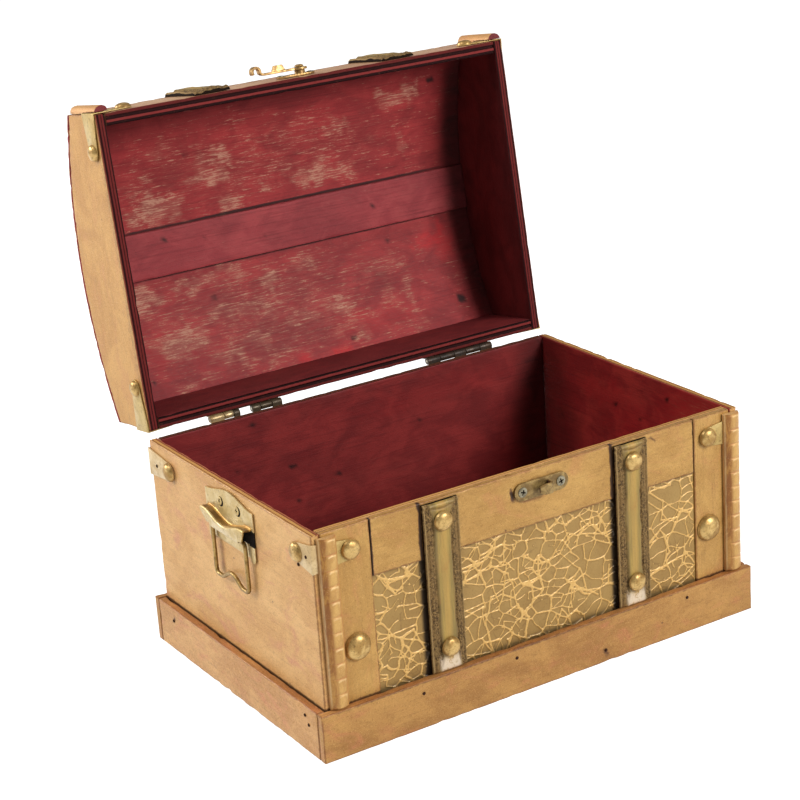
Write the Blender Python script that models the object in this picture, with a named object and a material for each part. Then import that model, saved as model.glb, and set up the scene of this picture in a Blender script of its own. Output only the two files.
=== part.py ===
"""Wooden treasure chest with an arched lid, swing handles and a swing-hook latch.

Metres, +Z up, the front faces -Y and the origin is the middle of the underside.
The lid is modelled closed, about its hinge axis, and an empty turns it to its open
rest pose. Left and right are as seen from the front.
"""
import math

import bmesh
import bpy
from mathutils import Matrix, Vector

# Body
BODY_WIDTH = 0.300
BODY_DEPTH = 0.197
BODY_HEIGHT = 0.135
SIDE_WALL_THICKNESS = 0.0056
FRONT_WALL_THICKNESS = 0.0040
BACK_WALL_THICKNESS = 0.0050
FLOOR_THICKNESS = 0.0050
PLINTH_HEIGHT = 0.0295
PLINTH_THICKNESS = 0.0053

# Facing of the front
FACING_THICKNESS = 0.0032
STILE_WIDTH = {"left": 0.0312, "right": 0.0276}
RAIL_HEIGHT = 0.0345
FIELD_THICKNESS = 0.0020

# Straps
STRAP_WIDTH = 0.0240
STRAP_PAD_WIDTH = 0.0125
STRAP_PAD_HEIGHT = 0.0036
STRAP_MARGIN_WIDTH = 0.0024
STRAP_MARGIN_HEIGHT = 0.0028
STRAP_CHANNEL_HEIGHT = 0.0021
STRAP_TOP_DROP = 0.0012
STRAP_BACK_STOP = 0.0180

# Beaded corner mouldings
MOULDING_WIDTH = 0.0118
MOULDING_BASE = 0.0020
MOULDING_HEIGHT = 0.0051
MOULDING_INSET = {"left": 0.0029, "right": 0.0}
BEAD_RADIUS = 0.0030
LID_MOULDING_RADIUS = 0.0049
MOULDING_TOP_DROP = 0.0022
BEAD_COUNT = 11
LID_MOULDING_HEIGHT = 0.0380
LID_MOULDING_FOOT = 0.0008

# Lid
LID_SIDE_INSET = 0.0025
LID_FRONT_INSET = 0.0015
LID_FRONT_HEIGHT = 0.0430
LID_BACK_HEIGHT = 0.0475
LID_CROWN_HEIGHT = 0.0655
LID_END_THICKNESS = 0.0062
LID_FRONT_THICKNESS = 0.0080
LID_BACK_THICKNESS = 0.0075
LID_SKIN_THICKNESS = 0.0022
LID_REST_GAP = 0.0003
LID_OPEN_ANGLE = math.radians(98.6)
BATTEN_WIDTH = 0.0300
BATTEN_THICKNESS = 0.0035

# Hinges
HINGE_LENGTH = 0.0510
HINGE_LEAF_HEIGHT = 0.0120
HINGE_LEAF_THICKNESS = 0.0010
KNUCKLE_RADIUS = 0.0023
KNUCKLE_BORE_RADIUS = 0.0012
HINGE_PIN_RADIUS = 0.0009
HINGE_AXIS_RISE = 0.0013

# Corner brackets
BRACKET_THICKNESS = 0.0006
BRACKET_ROOT_HEIGHT = 0.0175
BRACKET_TIP_RADIUS = 0.0058
BRACKET_TOP_DROP = 0.0050
BRACKET_FRONT_REACH = 0.0240
BRACKET_SIDE_REACH = 0.0160
BRACKET_BACK_REACH = 0.0150
BRACKET_BACK_SIDE_REACH = 0.0265
LID_BRACKET_REACH = 0.0230
LID_BRACKET_FOOT = 0.0010

# Dome-headed nails
SMALL_DOME_RADIUS = 0.0060
SMALL_DOME_HEIGHT = 0.0034
LARGE_DOME_RADIUS = 0.0085
LARGE_DOME_HEIGHT = 0.0046
DOME_RIM = 0.0005
STILE_DOME_INSET = 0.0238
LARGE_DOME_RISE = 0.0325
STRAP_DOME_TOP_DROP = 0.0125
STRAP_DOME_RISE = 0.0152

# Catch on the front rail
CATCH_X = 0.0025
CATCH_TOP_DROP = 0.0118
CATCH_LENGTH = 0.0380
CATCH_HEIGHT = 0.0108
CATCH_THICKNESS = 0.0012
CATCH_SCREW_SPACING = 0.0270
SCREW_HOLE_RADIUS = 0.0016
EAR_HEIGHT = 0.0064
EAR_THICKNESS = 0.0011
EAR_CLEAR = 0.0046
EAR_LEFT = 0.0042
EAR_RIGHT = 0.0048
EAR_BEND = 0.0012

# Swing hook on the lid
LATCH_X = 0.0005
LATCH_RISE = 0.0120
LATCH_PLATE_LENGTH = 0.0270
LATCH_PLATE_HEIGHT = 0.0095
LATCH_PLATE_THICKNESS = 0.0012
LATCH_PLATE_SHIFT = 0.0035
LATCH_SCREW_SPACING = 0.0215
LATCH_BOSS_RADIUS = 0.0034
LATCH_STANDOFF = 0.0040
HOOK_THICKNESS = 0.0014
HOOK_WIDTH = 0.0040
HOOK_EYE_RADIUS = 0.0050
HOOK_REACH = 0.0275
HOOK_CURL_RADIUS = 0.0027
HOOK_CURL_RISE = 0.0024
HOOK_BEND = 0.0012
THUMB_START = 0.0095
THUMB_LENGTH = 0.0095
THUMB_HEIGHT = 0.0034
THUMB_THICKNESS = 0.0011
RIVET_RADIUS = 0.0014
RIVET_HEAD_RADIUS = 0.0029
RIVET_HEAD_HEIGHT = 0.0015

# Side handles
HANDLE_Y = -0.0048
HANDLE_WIDTH = 0.0575
HANDLE_TOP_DROP = 0.0070
HANDLE_CREST = 0.0050
HANDLE_CREASE_DROP = 0.0172
HANDLE_LIP_DROP = 0.0215
HANDLE_LIP_RISE = 0.0026
HANDLE_LIP_REACH = 0.0068
HANDLE_LIP_END_REACH = 0.0016
HANDLE_FLAP_DROP = 0.0305
HANDLE_FLAP_REACH = 0.0046
HANDLE_FLAP_WIDTH = 0.0340
HANDLE_TAB_WIDTH = 0.0068
HANDLE_TAB_DROP = 0.0395
HANDLE_SHEET = 0.0008
HANDLE_BACK_DROP = 0.0368
HANDLE_SCREW_SPACING = 0.0208
HANDLE_SCREW_DROP = 0.0110
BAIL_WIRE_RADIUS = 0.0013
BAIL_AXIS_DROP = 0.0278
BAIL_AXIS_REACH = 0.0029
BAIL_WIDTH = 0.0400
BAIL_DROP = 0.0312
BAIL_BUMP = 0.0055
BAIL_BUMP_HALF = 0.0135
BAIL_STUB = 0.0100
BAIL_BEND = 0.0032

# Clearances, edge softening and the overrun of every cut
GAP = 0.0003
EDGE = 0.0004
OVERRUN = 0.0010
MERGE = 0.00001

# Angles, shape shares and counts
SMOOTH_ANGLE = math.radians(35)
CORNER_ANGLE = math.radians(40)
RIVET_CROWN_SHARE = 0.6
LIP_HALFWAY_SHARE = 0.45
LIP_FALL_SHARE = 1.2
HOOK_CURL_SHARE = 0.6
HOOK_RISE_SHARE = 0.3
STRAP_PLACE_SHARES = {"left": -0.450, "right": 0.447}
HINGE_PLACE_SHARE = 0.54
ARCH_STEPS = 28
WALL_TOP_STEPS = 2
BATTEN_TOP_STEPS = 4
HOLE_SIDES = 12
END_STEPS = 8
FLAP_STEPS = 6
BEND_STEPS = 4
BUMP_STEPS = 8
ROUND_SIDES = 20
DOME_RINGS = 5
STRAP_CORNER_STEPS = 5
MOULDING_SIDES = 7
BEAD_SHARES = (
    (0.00, 0.78), (0.07, 0.80), (0.16, 0.94), (0.34, 1.00), (0.58, 1.00), (0.78, 0.94), (0.88, 0.80),
)
BODY_KNUCKLE_SHARES = {
    "left": ((0.00, 0.19), (0.32, 0.41), (0.58, 0.70), (0.86, 1.00)),
    "right": ((0.00, 0.19), (0.41, 0.59), (0.81, 1.00)),
}
LID_KNUCKLE_SHARES = {"left": ((0.19, 0.32), (0.70, 0.86)), "right": ((0.19, 0.41), (0.59, 0.81))}
PIN_SHARES = {"left": ((0.00, 0.41), (0.58, 1.00)), "right": ((0.00, 1.00),)}

# Places that follow from the sizes above
HALF_WIDTH = BODY_WIDTH / 2
LID_WIDTH = BODY_WIDTH - 2 * LID_SIDE_INSET
LID_DEPTH = BODY_DEPTH - LID_FRONT_INSET
FRONT_Y = -BODY_DEPTH / 2
BACK_Y = BODY_DEPTH / 2
INNER_HALF = HALF_WIDTH - SIDE_WALL_THICKNESS
FACING_BACK_Y = FRONT_Y + FACING_THICKNESS
FRONT_WALL_Y = FACING_BACK_Y + GAP
INNER_FRONT_Y = FRONT_WALL_Y + FRONT_WALL_THICKNESS
INNER_BACK_Y = BACK_Y - BACK_WALL_THICKNESS
RAIL_Z = BODY_HEIGHT - RAIL_HEIGHT
PLINTH_SEAT_X = HALF_WIDTH + GAP
PLINTH_SEAT_Y = BODY_DEPTH / 2 + GAP
FRONT_SEAT_Y = FRONT_Y - GAP
HINGE_AXIS_BEHIND = KNUCKLE_RADIUS + GAP
HINGE_AXIS_Y = BACK_Y + HINGE_AXIS_BEHIND
HINGE_AXIS_Z = BODY_HEIGHT + HINGE_AXIS_RISE
KNUCKLE_CLEAR = KNUCKLE_RADIUS + GAP
HOOK_TOP = LATCH_STANDOFF + HOOK_THICKNESS
LID_HALF = LID_WIDTH / 2
LID_INNER_HALF = LID_HALF - LID_END_THICKNESS
LID_SPAN_HALF = LID_INNER_HALF - GAP
ARCH_INSET = LID_SKIN_THICKNESS + GAP
BRACKET_Z = BODY_HEIGHT - BRACKET_TOP_DROP - BRACKET_ROOT_HEIGHT / 2
LID_BRACKET_RISE = LID_BRACKET_FOOT + BRACKET_ROOT_HEIGHT / 2
SIDES = {"left": -1.0, "right": 1.0}
OUT_OF_FRONT = (0.0, -1.0, 0.0)
STRAP_X = {side: share * HALF_WIDTH for side, share in STRAP_PLACE_SHARES.items()}
HINGE_X = {side: sign * HINGE_PLACE_SHARE * HALF_WIDTH for side, sign in SIDES.items()}
STILE_INNER = {side: INNER_HALF - GAP - width for side, width in STILE_WIDTH.items()}
STRAP_DOME_Z = {"top": BODY_HEIGHT - STRAP_DOME_TOP_DROP, "low": PLINTH_HEIGHT + STRAP_DOME_RISE}
LARGE_DOME_Z = PLINTH_HEIGHT + LARGE_DOME_RISE
CATCH_Z = BODY_HEIGHT - CATCH_TOP_DROP
HANDLE_TOP_Z = BODY_HEIGHT - HANDLE_TOP_DROP
HANDLE_SCREW_Z = BODY_HEIGHT - HANDLE_SCREW_DROP
HANDLE_CREASE_Z = BODY_HEIGHT - HANDLE_CREASE_DROP
HANDLE_LIP_Z = BODY_HEIGHT - HANDLE_LIP_DROP
HANDLE_FLAP_Z = BODY_HEIGHT - HANDLE_FLAP_DROP
HANDLE_TAB_Z = BODY_HEIGHT - HANDLE_TAB_DROP
HANDLE_BACK_Z = BODY_HEIGHT - HANDLE_BACK_DROP
BAIL_AXIS_Z = BODY_HEIGHT - BAIL_AXIS_DROP


def clear_scene():
    for item in list(bpy.data.objects):
        bpy.data.objects.remove(item, do_unlink=True)


def material(name, colour, roughness, metallic=0.0):
    made = bpy.data.materials.new(name)
    made.use_nodes = True
    shader = made.node_tree.nodes["Principled BSDF"]
    shader.inputs["Base Color"].default_value = (*colour, 1.0)
    shader.inputs["Roughness"].default_value = roughness
    shader.inputs["Metallic"].default_value = metallic
    return made


def finished(mesh_data, name, finish, parent=None, smooth=False):
    """Turns a bmesh into a named object with its material and parent."""
    bmesh.ops.remove_doubles(mesh_data, verts=mesh_data.verts, dist=MERGE)
    bmesh.ops.recalc_face_normals(mesh_data, faces=mesh_data.faces)
    mesh = bpy.data.meshes.new(name)
    mesh_data.to_mesh(mesh)
    mesh_data.free()
    if smooth:
        mesh.shade_smooth()
        mesh.set_sharp_from_angle(angle=SMOOTH_ANGLE)
    made = bpy.data.objects.new(name, mesh)
    made.data.materials.append(finish)
    made.parent = parent
    bpy.context.scene.collection.objects.link(made)
    return made


def axis_empty(name, place, turn=(0.0, 0.0, 0.0), parent=None):
    made = bpy.data.objects.new(name, None)
    made.location = place
    made.rotation_euler = turn
    made.parent = parent
    bpy.context.scene.collection.objects.link(made)
    return made


def soften(made, width):
    """A narrow flat on every sharp edge."""
    bevel = made.modifiers.new("Soft edges", "BEVEL")
    bevel.width = width
    bevel.segments = 1
    bevel.limit_method = "ANGLE"
    bevel.angle_limit = CORNER_ANGLE
    return made


def as_tool(made):
    made.hide_render = True
    made.display_type = "WIRE"
    made.hide_set(True)
    return made


def combine(made, tool, operation):
    step = made.modifiers.new(operation.title(), "BOOLEAN")
    step.operation = operation
    step.solver = "EXACT"
    step.object = as_tool(tool)
    return made


def prism_mesh(outline, axis, start, end):
    """Extrudes an outline from start to end along X, Y or Z.

    The outline gives the other two coordinates in the order X, Y, Z.
    """
    def place(a, b, c):
        return {"X": (c, a, b), "Y": (a, c, b), "Z": (a, b, c)}[axis]

    mesh_data = bmesh.new()
    ring = [mesh_data.verts.new(place(a, b, start)) for a, b in outline]
    face = mesh_data.faces.new(ring)
    pushed = bmesh.ops.extrude_face_region(mesh_data, geom=[face])
    moved = [item for item in pushed["geom"] if isinstance(item, bmesh.types.BMVert)]
    bmesh.ops.translate(mesh_data, verts=moved, vec=Vector(place(0.0, 0.0, end - start)))
    return mesh_data


def prism(name, outline, axis, start, end, finish, parent=None):
    return finished(prism_mesh(outline, axis, start, end), name, finish, parent)


def board(name, low, high, finish, parent=None):
    """A straight board between two corners, with softened edges."""
    outline = [(low[0], low[1]), (high[0], low[1]), (high[0], high[1]), (low[0], high[1])]
    made = prism(name, outline, "Z", low[2], high[2], finish, parent)
    return soften(made, EDGE)


def round_outline(centre, radius, sides, start=0.0, sweep=2 * math.pi, closed=True):
    count = sides if closed else sides + 1
    return [
        (centre[0] + radius * math.cos(start + sweep * i / sides),
         centre[1] + radius * math.sin(start + sweep * i / sides))
        for i in range(count)
    ]


def stadium(centre, length, height, sides):
    """Outline with two straight edges and two half-round ends."""
    radius = height / 2
    shift = length / 2 - radius
    right = round_outline((centre[0] + shift, centre[1]), radius, sides, -math.pi / 2, math.pi, False)
    left = round_outline((centre[0] - shift, centre[1]), radius, sides, math.pi / 2, math.pi, False)
    return right + left


def cylinder(name, axis, centre, radius, start, end, finish, parent=None, sides=ROUND_SIDES):
    made = prism(name, round_outline(centre, radius, sides), axis, start, end, finish, parent)
    made.data.shade_smooth()
    made.data.set_sharp_from_angle(angle=SMOOTH_ANGLE)
    return made


def loft(name, rings, finish, parent=None, smooth=True):
    """Bridges closed loops of points one after another and caps both ends."""
    mesh_data = bmesh.new()
    loops = []
    for ring in rings:
        verts = [mesh_data.verts.new(point) for point in ring]
        edges = [mesh_data.edges.new((verts[i], verts[(i + 1) % len(verts)])) for i in range(len(verts))]
        loops.append((verts, edges))
    for (_, first), (_, second) in zip(loops, loops[1:]):
        bmesh.ops.bridge_loops(mesh_data, edges=first + second)
    mesh_data.faces.new(loops[0][0])
    mesh_data.faces.new(loops[-1][0])
    return finished(mesh_data, name, finish, parent, smooth)


def turned(name, profile, place, direction, finish, parent=None, sides=ROUND_SIDES):
    """Spins a profile of (radius, height) points about the given direction."""
    mesh_data = bmesh.new()
    verts = [mesh_data.verts.new((radius, 0.0, height)) for radius, height in profile]
    edges = [mesh_data.edges.new(pair) for pair in zip(verts, verts[1:])]
    bmesh.ops.spin(mesh_data, geom=verts + edges, cent=(0.0, 0.0, 0.0), axis=(0.0, 0.0, 1.0),
                   angle=2 * math.pi, steps=sides, use_duplicate=False)
    turn = Vector((0.0, 0.0, 1.0)).rotation_difference(Vector(direction)).to_matrix().to_4x4()
    bmesh.ops.transform(mesh_data, matrix=Matrix.Translation(Vector(place)) @ turn, verts=mesh_data.verts)
    return finished(mesh_data, name, finish, parent, smooth=True)


def dome_nail(name, place, direction, radius, height, finish, parent=None):
    """A dome head on a short rim, its flat underside at the given place."""
    profile = [(0.0, 0.0), (radius, 0.0)]
    for i in range(DOME_RINGS):
        angle = math.pi / 2 * i / DOME_RINGS
        profile.append((radius * math.cos(angle), DOME_RIM + (height - DOME_RIM) * math.sin(angle)))
    profile.append((0.0, height))
    return turned(name, profile, place, direction, finish, parent)


def sheet_metal(name, points, faces, thickness, finish, parent=None):
    """A sheet given as faces over points, thickened away from its seat."""
    mesh_data = bmesh.new()
    verts = [mesh_data.verts.new(point) for point in points]
    for face in faces:
        mesh_data.faces.new([verts[i] for i in face])
    mesh = bpy.data.meshes.new(name)
    mesh_data.to_mesh(mesh)
    mesh_data.free()
    made = bpy.data.objects.new(name, mesh)
    made.data.materials.append(finish)
    made.parent = parent
    bpy.context.scene.collection.objects.link(made)
    thicken = made.modifiers.new("Sheet", "SOLIDIFY")
    thicken.thickness = thickness
    thicken.offset = 1.0
    thicken.use_even_offset = True
    return made


def face_outward(made, outward):
    """Turns the sheet's faces so that thickening goes away from the wood."""
    mesh_data = bmesh.new()
    mesh_data.from_mesh(made.data)
    turned_in = [face for face in mesh_data.faces if face.normal.dot(outward) < 0]
    bmesh.ops.reverse_faces(mesh_data, faces=turned_in)
    mesh_data.to_mesh(made.data)
    mesh_data.free()
    return made


def screw_hole(name, axis, centre, start, end, finish):
    return cylinder(name, axis, centre, SCREW_HOLE_RADIUS, start, end, finish, sides=HOLE_SIDES)


# Body boards

def floor_panel(wood):
    half = INNER_HALF - GAP
    board("floor_panel", (-half, INNER_FRONT_Y + GAP, 0.0), (half, INNER_BACK_Y - GAP, FLOOR_THICKNESS), wood)


def front_wall(wood):
    half = INNER_HALF - GAP
    board("front_wall", (-half, FRONT_WALL_Y, 0.0), (half, INNER_FRONT_Y, BODY_HEIGHT), wood)


def back_wall(wood):
    half = INNER_HALF - GAP
    board("back_wall", (-half, INNER_BACK_Y, 0.0), (half, BACK_Y, BODY_HEIGHT), wood)


def side_wall(side, sign, wood):
    """Full-depth side board that covers the ends of the front and back boards."""
    low, high = sorted((sign * INNER_HALF, sign * HALF_WIDTH))
    board(side + "_wall", (low, FRONT_Y, 0.0), (high, BACK_Y, BODY_HEIGHT), wood)


def plinth_long(side, sign, wood):
    """Front or back skirt board, running over the ends of the side boards."""
    low, high = sorted((sign * PLINTH_SEAT_Y, sign * (PLINTH_SEAT_Y + PLINTH_THICKNESS)))
    half = PLINTH_SEAT_X + PLINTH_THICKNESS
    board("plinth_" + side, (-half, low, 0.0), (half, high, PLINTH_HEIGHT), wood)


def plinth_short(side, sign, wood):
    low, high = sorted((sign * PLINTH_SEAT_X, sign * (PLINTH_SEAT_X + PLINTH_THICKNESS)))
    half = PLINTH_SEAT_Y - GAP
    board("plinth_" + side, (low, -half, 0.0), (high, half, PLINTH_HEIGHT), wood)


def stile(side, sign, wood):
    """Upright facing board beside the field."""
    low, high = sorted((sign * STILE_INNER[side], sign * (INNER_HALF - GAP)))
    board("stile_" + side, (low, FRONT_Y, 0.0), (high, FACING_BACK_Y, BODY_HEIGHT), wood)


def front_rail(wood):
    left, right = GAP - STILE_INNER["left"], STILE_INNER["right"] - GAP
    board("front_rail", (left, FRONT_Y, RAIL_Z), (right, FACING_BACK_Y, BODY_HEIGHT), wood)


def field_panel(leather):
    """Covered panel set back between the stiles, below the rail."""
    left, right = GAP - STILE_INNER["left"], STILE_INNER["right"] - GAP
    front = FACING_BACK_Y - FIELD_THICKNESS
    board("field_panel", (left, front, 0.0), (right, FACING_BACK_Y, RAIL_Z - GAP), leather)


# Straps

def strap_section():
    """Half-width and height points: raised pad, a stitching channel each side and thick margins."""
    half = STRAP_WIDTH / 2
    pad = STRAP_PAD_WIDTH / 2
    margin = half - STRAP_MARGIN_WIDTH
    shoulder = STRAP_PAD_HEIGHT - STRAP_CHANNEL_HEIGHT
    lip = STRAP_MARGIN_HEIGHT - STRAP_CHANNEL_HEIGHT
    right = [
        (pad - shoulder, STRAP_PAD_HEIGHT), (pad, STRAP_CHANNEL_HEIGHT), (margin, STRAP_CHANNEL_HEIGHT),
        (margin + lip, STRAP_MARGIN_HEIGHT), (half - lip, STRAP_MARGIN_HEIGHT),
        (half, STRAP_CHANNEL_HEIGHT), (half, 0.0),
    ]
    return [(-across, rise) for across, rise in reversed(right)] + right


def front_strap(side, leather):
    """Strap up the front, from the plinth to just under the rim."""
    heights = (PLINTH_HEIGHT + GAP, BODY_HEIGHT - STRAP_TOP_DROP)
    rings = [
        [(STRAP_X[side] + across, FRONT_SEAT_Y - rise, z) for across, rise in strap_section()]
        for z in heights
    ]
    loft("front_strap_" + side, rings, leather, smooth=False)


# Arch of the lid, in the lid's own coordinates

def lid_point(forward, rise):
    """Y and Z from the hinge axis of a point forward of the back face and above the rim."""
    return (-HINGE_AXIS_BEHIND - forward, LID_REST_GAP + rise - HINGE_AXIS_RISE)


def circle_through(first, middle, last):
    ax, ay = first
    bx, by = middle
    cx, cy = last
    d = 2 * (ax * (by - cy) + bx * (cy - ay) + cx * (ay - by))
    a2, b2, c2 = ax * ax + ay * ay, bx * bx + by * by, cx * cx + cy * cy
    x = (a2 * (by - cy) + b2 * (cy - ay) + c2 * (ay - by)) / d
    y = (a2 * (cx - bx) + b2 * (ax - cx) + c2 * (bx - ax)) / d
    return x, y, math.hypot(ax - x, ay - y)


ARCH = circle_through(
    (0.0, LID_BACK_HEIGHT), (LID_DEPTH / 2, LID_CROWN_HEIGHT), (LID_DEPTH, LID_FRONT_HEIGHT)
)


def arch_rise(forward, inset):
    """Height of the arch above the rim, inset towards its centre."""
    radius = ARCH[2] - inset
    return ARCH[1] + math.sqrt(radius * radius - (forward - ARCH[0]) ** 2)


def arch_run(start, end, inset, steps):
    places = [start + (end - start) * i / steps for i in range(steps + 1)]
    return [(forward, arch_rise(forward, inset)) for forward in places]


def lid_outline(points):
    return [lid_point(forward, rise) for forward, rise in points]


def lid_end(side, sign, wood, lid):
    """End board under the skin, its top cut to the arch."""
    outline = [(LID_DEPTH, 0.0), (0.0, 0.0)] + arch_run(0.0, LID_DEPTH, ARCH_INSET, ARCH_STEPS)
    low, high = sorted((sign * LID_INNER_HALF, sign * LID_HALF))
    soften(prism("lid_end_" + side, lid_outline(outline), "X", low, high, wood, lid), EDGE)


def lid_front(wood, lid):
    inner = LID_DEPTH - LID_FRONT_THICKNESS
    outline = [(LID_DEPTH, 0.0), (inner, 0.0)] + arch_run(inner, LID_DEPTH, ARCH_INSET, WALL_TOP_STEPS)
    soften(prism("lid_front", lid_outline(outline), "X", -LID_SPAN_HALF, LID_SPAN_HALF, wood, lid), EDGE)


def lid_back(wood, lid):
    inner = LID_BACK_THICKNESS
    outline = [(inner, 0.0), (0.0, 0.0)] + arch_run(0.0, inner, ARCH_INSET, WALL_TOP_STEPS)
    soften(prism("lid_back", lid_outline(outline), "X", -LID_SPAN_HALF, LID_SPAN_HALF, wood, lid), EDGE)


def lid_skin(wood, lid):
    """Thin sheet bent over the end boards."""
    outer = arch_run(0.0, LID_DEPTH, 0.0, ARCH_STEPS)
    inner = arch_run(LID_DEPTH, 0.0, LID_SKIN_THICKNESS, ARCH_STEPS)
    soften(prism("lid_skin", lid_outline(outer + inner), "X", -LID_HALF, LID_HALF, wood, lid), EDGE)


def lid_batten(wood, lid):
    """Flat batten under the crown, between the end boards."""
    middle = LID_DEPTH / 2
    first, last = middle - BATTEN_WIDTH / 2, middle + BATTEN_WIDTH / 2
    low = arch_rise(middle, ARCH_INSET) - BATTEN_THICKNESS
    outline = [(last, low), (first, low)] + arch_run(first, last, ARCH_INSET, BATTEN_TOP_STEPS)
    soften(prism("lid_batten", lid_outline(outline), "X", -LID_SPAN_HALF, LID_SPAN_HALF, wood, lid), EDGE)


def turn_at(corner, first, last):
    """The same point with its normal turning from one face's to the next."""
    place = Vector(corner)
    steps = STRAP_CORNER_STEPS
    return [(place, first.lerp(last, i / steps).normalized()) for i in range(steps + 1)]


def strap_frames():
    """Points and outward normals up the lid's front, over the arch and down its back."""
    front = Vector((1.0, 0.0))
    back = Vector((-1.0, 0.0))
    centre = Vector(ARCH[:2])
    run = [Vector(point) for point in arch_run(LID_DEPTH, 0.0, 0.0, ARCH_STEPS)]
    normals = [(point - centre).normalized() for point in run]
    frames = [(Vector((LID_DEPTH, STRAP_TOP_DROP)), front)]
    frames += turn_at(run[0], front, normals[0])
    frames += list(zip(run[1:-1], normals[1:-1]))
    frames += turn_at(run[-1], normals[-1], back)
    frames.append((Vector((0.0, STRAP_BACK_STOP)), back))
    return frames


def lid_strap(side, leather, lid):
    """The front strap carried on over the lid, in the same section."""
    rings = []
    for place, outward in strap_frames():
        ring = []
        for across, rise in strap_section():
            point = place + outward * (GAP + rise)
            ring.append((STRAP_X[side] + across, *lid_point(point[0], point[1])))
        rings.append(ring)
    loft("lid_strap_" + side, rings, leather, lid, smooth=False)


# Mouldings

def half_round(x, seat, z, radius):
    """Points of a half-round section standing off the seat towards the front."""
    arc = round_outline((x, 0.0), radius, MOULDING_SIDES, 0.0, math.pi, False)
    return [(across, seat - reach, z) for across, reach in arc]


def beaded_section(x, seat, z, swell):
    """A flat base strip with a round bead rail along its middle."""
    half = MOULDING_WIDTH / 2
    centre = (x, MOULDING_HEIGHT - BEAD_RADIUS)
    side = math.asin((MOULDING_BASE - centre[1]) / BEAD_RADIUS)
    arc = round_outline(centre, BEAD_RADIUS * swell, MOULDING_SIDES, side, math.pi - 2 * side, False)
    outline = [(x + half, 0.0), (x + half, MOULDING_BASE)] + arc
    outline += [(x - half, MOULDING_BASE), (x - half, 0.0)]
    return [(across, seat - reach, z) for across, reach in outline]


def bracket_pocket(name, x, half_width, seat, low, high, finish, parent=None):
    """Cutter that clears the bracket's leg from a moulding's flat back."""
    half = half_width + OVERRUN
    front = seat - BRACKET_THICKNESS - GAP
    back = seat + OVERRUN
    outline = [(x - half, back), (x + half, back), (x + half, front), (x - half, front)]
    return prism(name, outline, "Z", low, high, finish, parent)


def corner_moulding(side, sign, wood):
    """Base strip and bead rail, the rail swelling and narrowing at an even pitch."""
    low = PLINTH_HEIGHT + GAP
    high = BODY_HEIGHT - MOULDING_TOP_DROP
    pitch = (high - low) / BEAD_COUNT
    x = sign * (HALF_WIDTH - MOULDING_INSET[side] - MOULDING_WIDTH / 2)
    places = [(bead + along, swell) for bead in range(BEAD_COUNT) for along, swell in BEAD_SHARES]
    places.append((BEAD_COUNT, BEAD_SHARES[0][1]))
    rings = [beaded_section(x, FRONT_SEAT_Y, low + step * pitch, swell) for step, swell in places]
    made = loft("corner_moulding_" + side, rings, wood)
    reach = BRACKET_ROOT_HEIGHT / 2 + GAP
    pocket = bracket_pocket("moulding_pocket_" + side, x, MOULDING_WIDTH / 2, FRONT_SEAT_Y,
                            BRACKET_Z - reach, BRACKET_Z + reach, wood)
    combine(made, pocket, "DIFFERENCE")


def lid_moulding(side, sign, wood, lid):
    """Plain half-round block on the lid's front corner."""
    seat = lid_point(LID_DEPTH, 0.0)[0] - GAP
    low = lid_point(0.0, LID_MOULDING_FOOT)[1]
    high = lid_point(0.0, LID_MOULDING_HEIGHT)[1]
    x = sign * (LID_HALF - LID_MOULDING_RADIUS)
    rings = [half_round(x, seat, z, LID_MOULDING_RADIUS) for z in (low, high)]
    made = loft("lid_moulding_" + side, rings, wood, lid)
    top = lid_point(0.0, LID_BRACKET_FOOT + BRACKET_ROOT_HEIGHT)[1] + GAP
    pocket = bracket_pocket("lid_moulding_pocket_" + side, x, LID_MOULDING_RADIUS, seat,
                            low - OVERRUN, top, wood, lid)
    combine(made, pocket, "DIFFERENCE")


# Corner brackets

def bracket_leg(reach, centre_z):
    """Distance from the corner and height of a tapered leg with a round tip."""
    half = BRACKET_ROOT_HEIGHT / 2
    tip = round_outline((reach, centre_z), BRACKET_TIP_RADIUS, END_STEPS, -math.pi / 2, math.pi, False)
    return [(0.0, centre_z - half)] + tip + [(0.0, centre_z + half)]


def bracket(name, corner, signs, reaches, centre_z, finish, parent=None):
    """One sheet folded round a vertical corner; signs point along X and Y towards the legs."""
    x_leg = bracket_leg(reaches[0], centre_z)
    y_leg = bracket_leg(reaches[1], centre_z)
    points = [(corner[0] + signs[0] * reach, corner[1], z) for reach, z in x_leg]
    points += [(corner[0], corner[1] + signs[1] * reach, z) for reach, z in y_leg[1:-1]]
    count = len(x_leg)
    first = list(range(count))
    second = [0] + list(range(count, len(points))) + [count - 1]
    made = sheet_metal(name, points, (first, second), BRACKET_THICKNESS, finish, parent)
    return face_outward(made, Vector((-signs[0], -signs[1], 0.0)))


def body_bracket(side, sign, brass):
    """The front and back corner brackets of one side."""
    x = sign * (HALF_WIDTH + GAP)
    front = (BRACKET_FRONT_REACH, BRACKET_SIDE_REACH)
    back = (BRACKET_BACK_REACH, BRACKET_BACK_SIDE_REACH)
    bracket("bracket_front_" + side, (x, FRONT_SEAT_Y), (-sign, 1.0), front, BRACKET_Z, brass)
    bracket("bracket_back_" + side, (x, BACK_Y + GAP), (-sign, -1.0), back, BRACKET_Z, brass)


def lid_bracket(side, sign, brass, lid):
    """The front and back corner brackets of one end of the lid."""
    x = sign * (LID_HALF + GAP)
    front_y, z = lid_point(LID_DEPTH + GAP, LID_BRACKET_RISE)
    back_y = lid_point(-GAP, 0.0)[0]
    front = (LID_BRACKET_REACH, LID_BRACKET_REACH)
    back = (BRACKET_BACK_REACH, BRACKET_BACK_SIDE_REACH)
    bracket("lid_bracket_front_" + side, (x, front_y), (-sign, 1.0), front, z, brass, lid)
    bracket("lid_bracket_back_" + side, (x, back_y), (-sign, -1.0), back, z, brass, lid)


# Nails on the front

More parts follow.
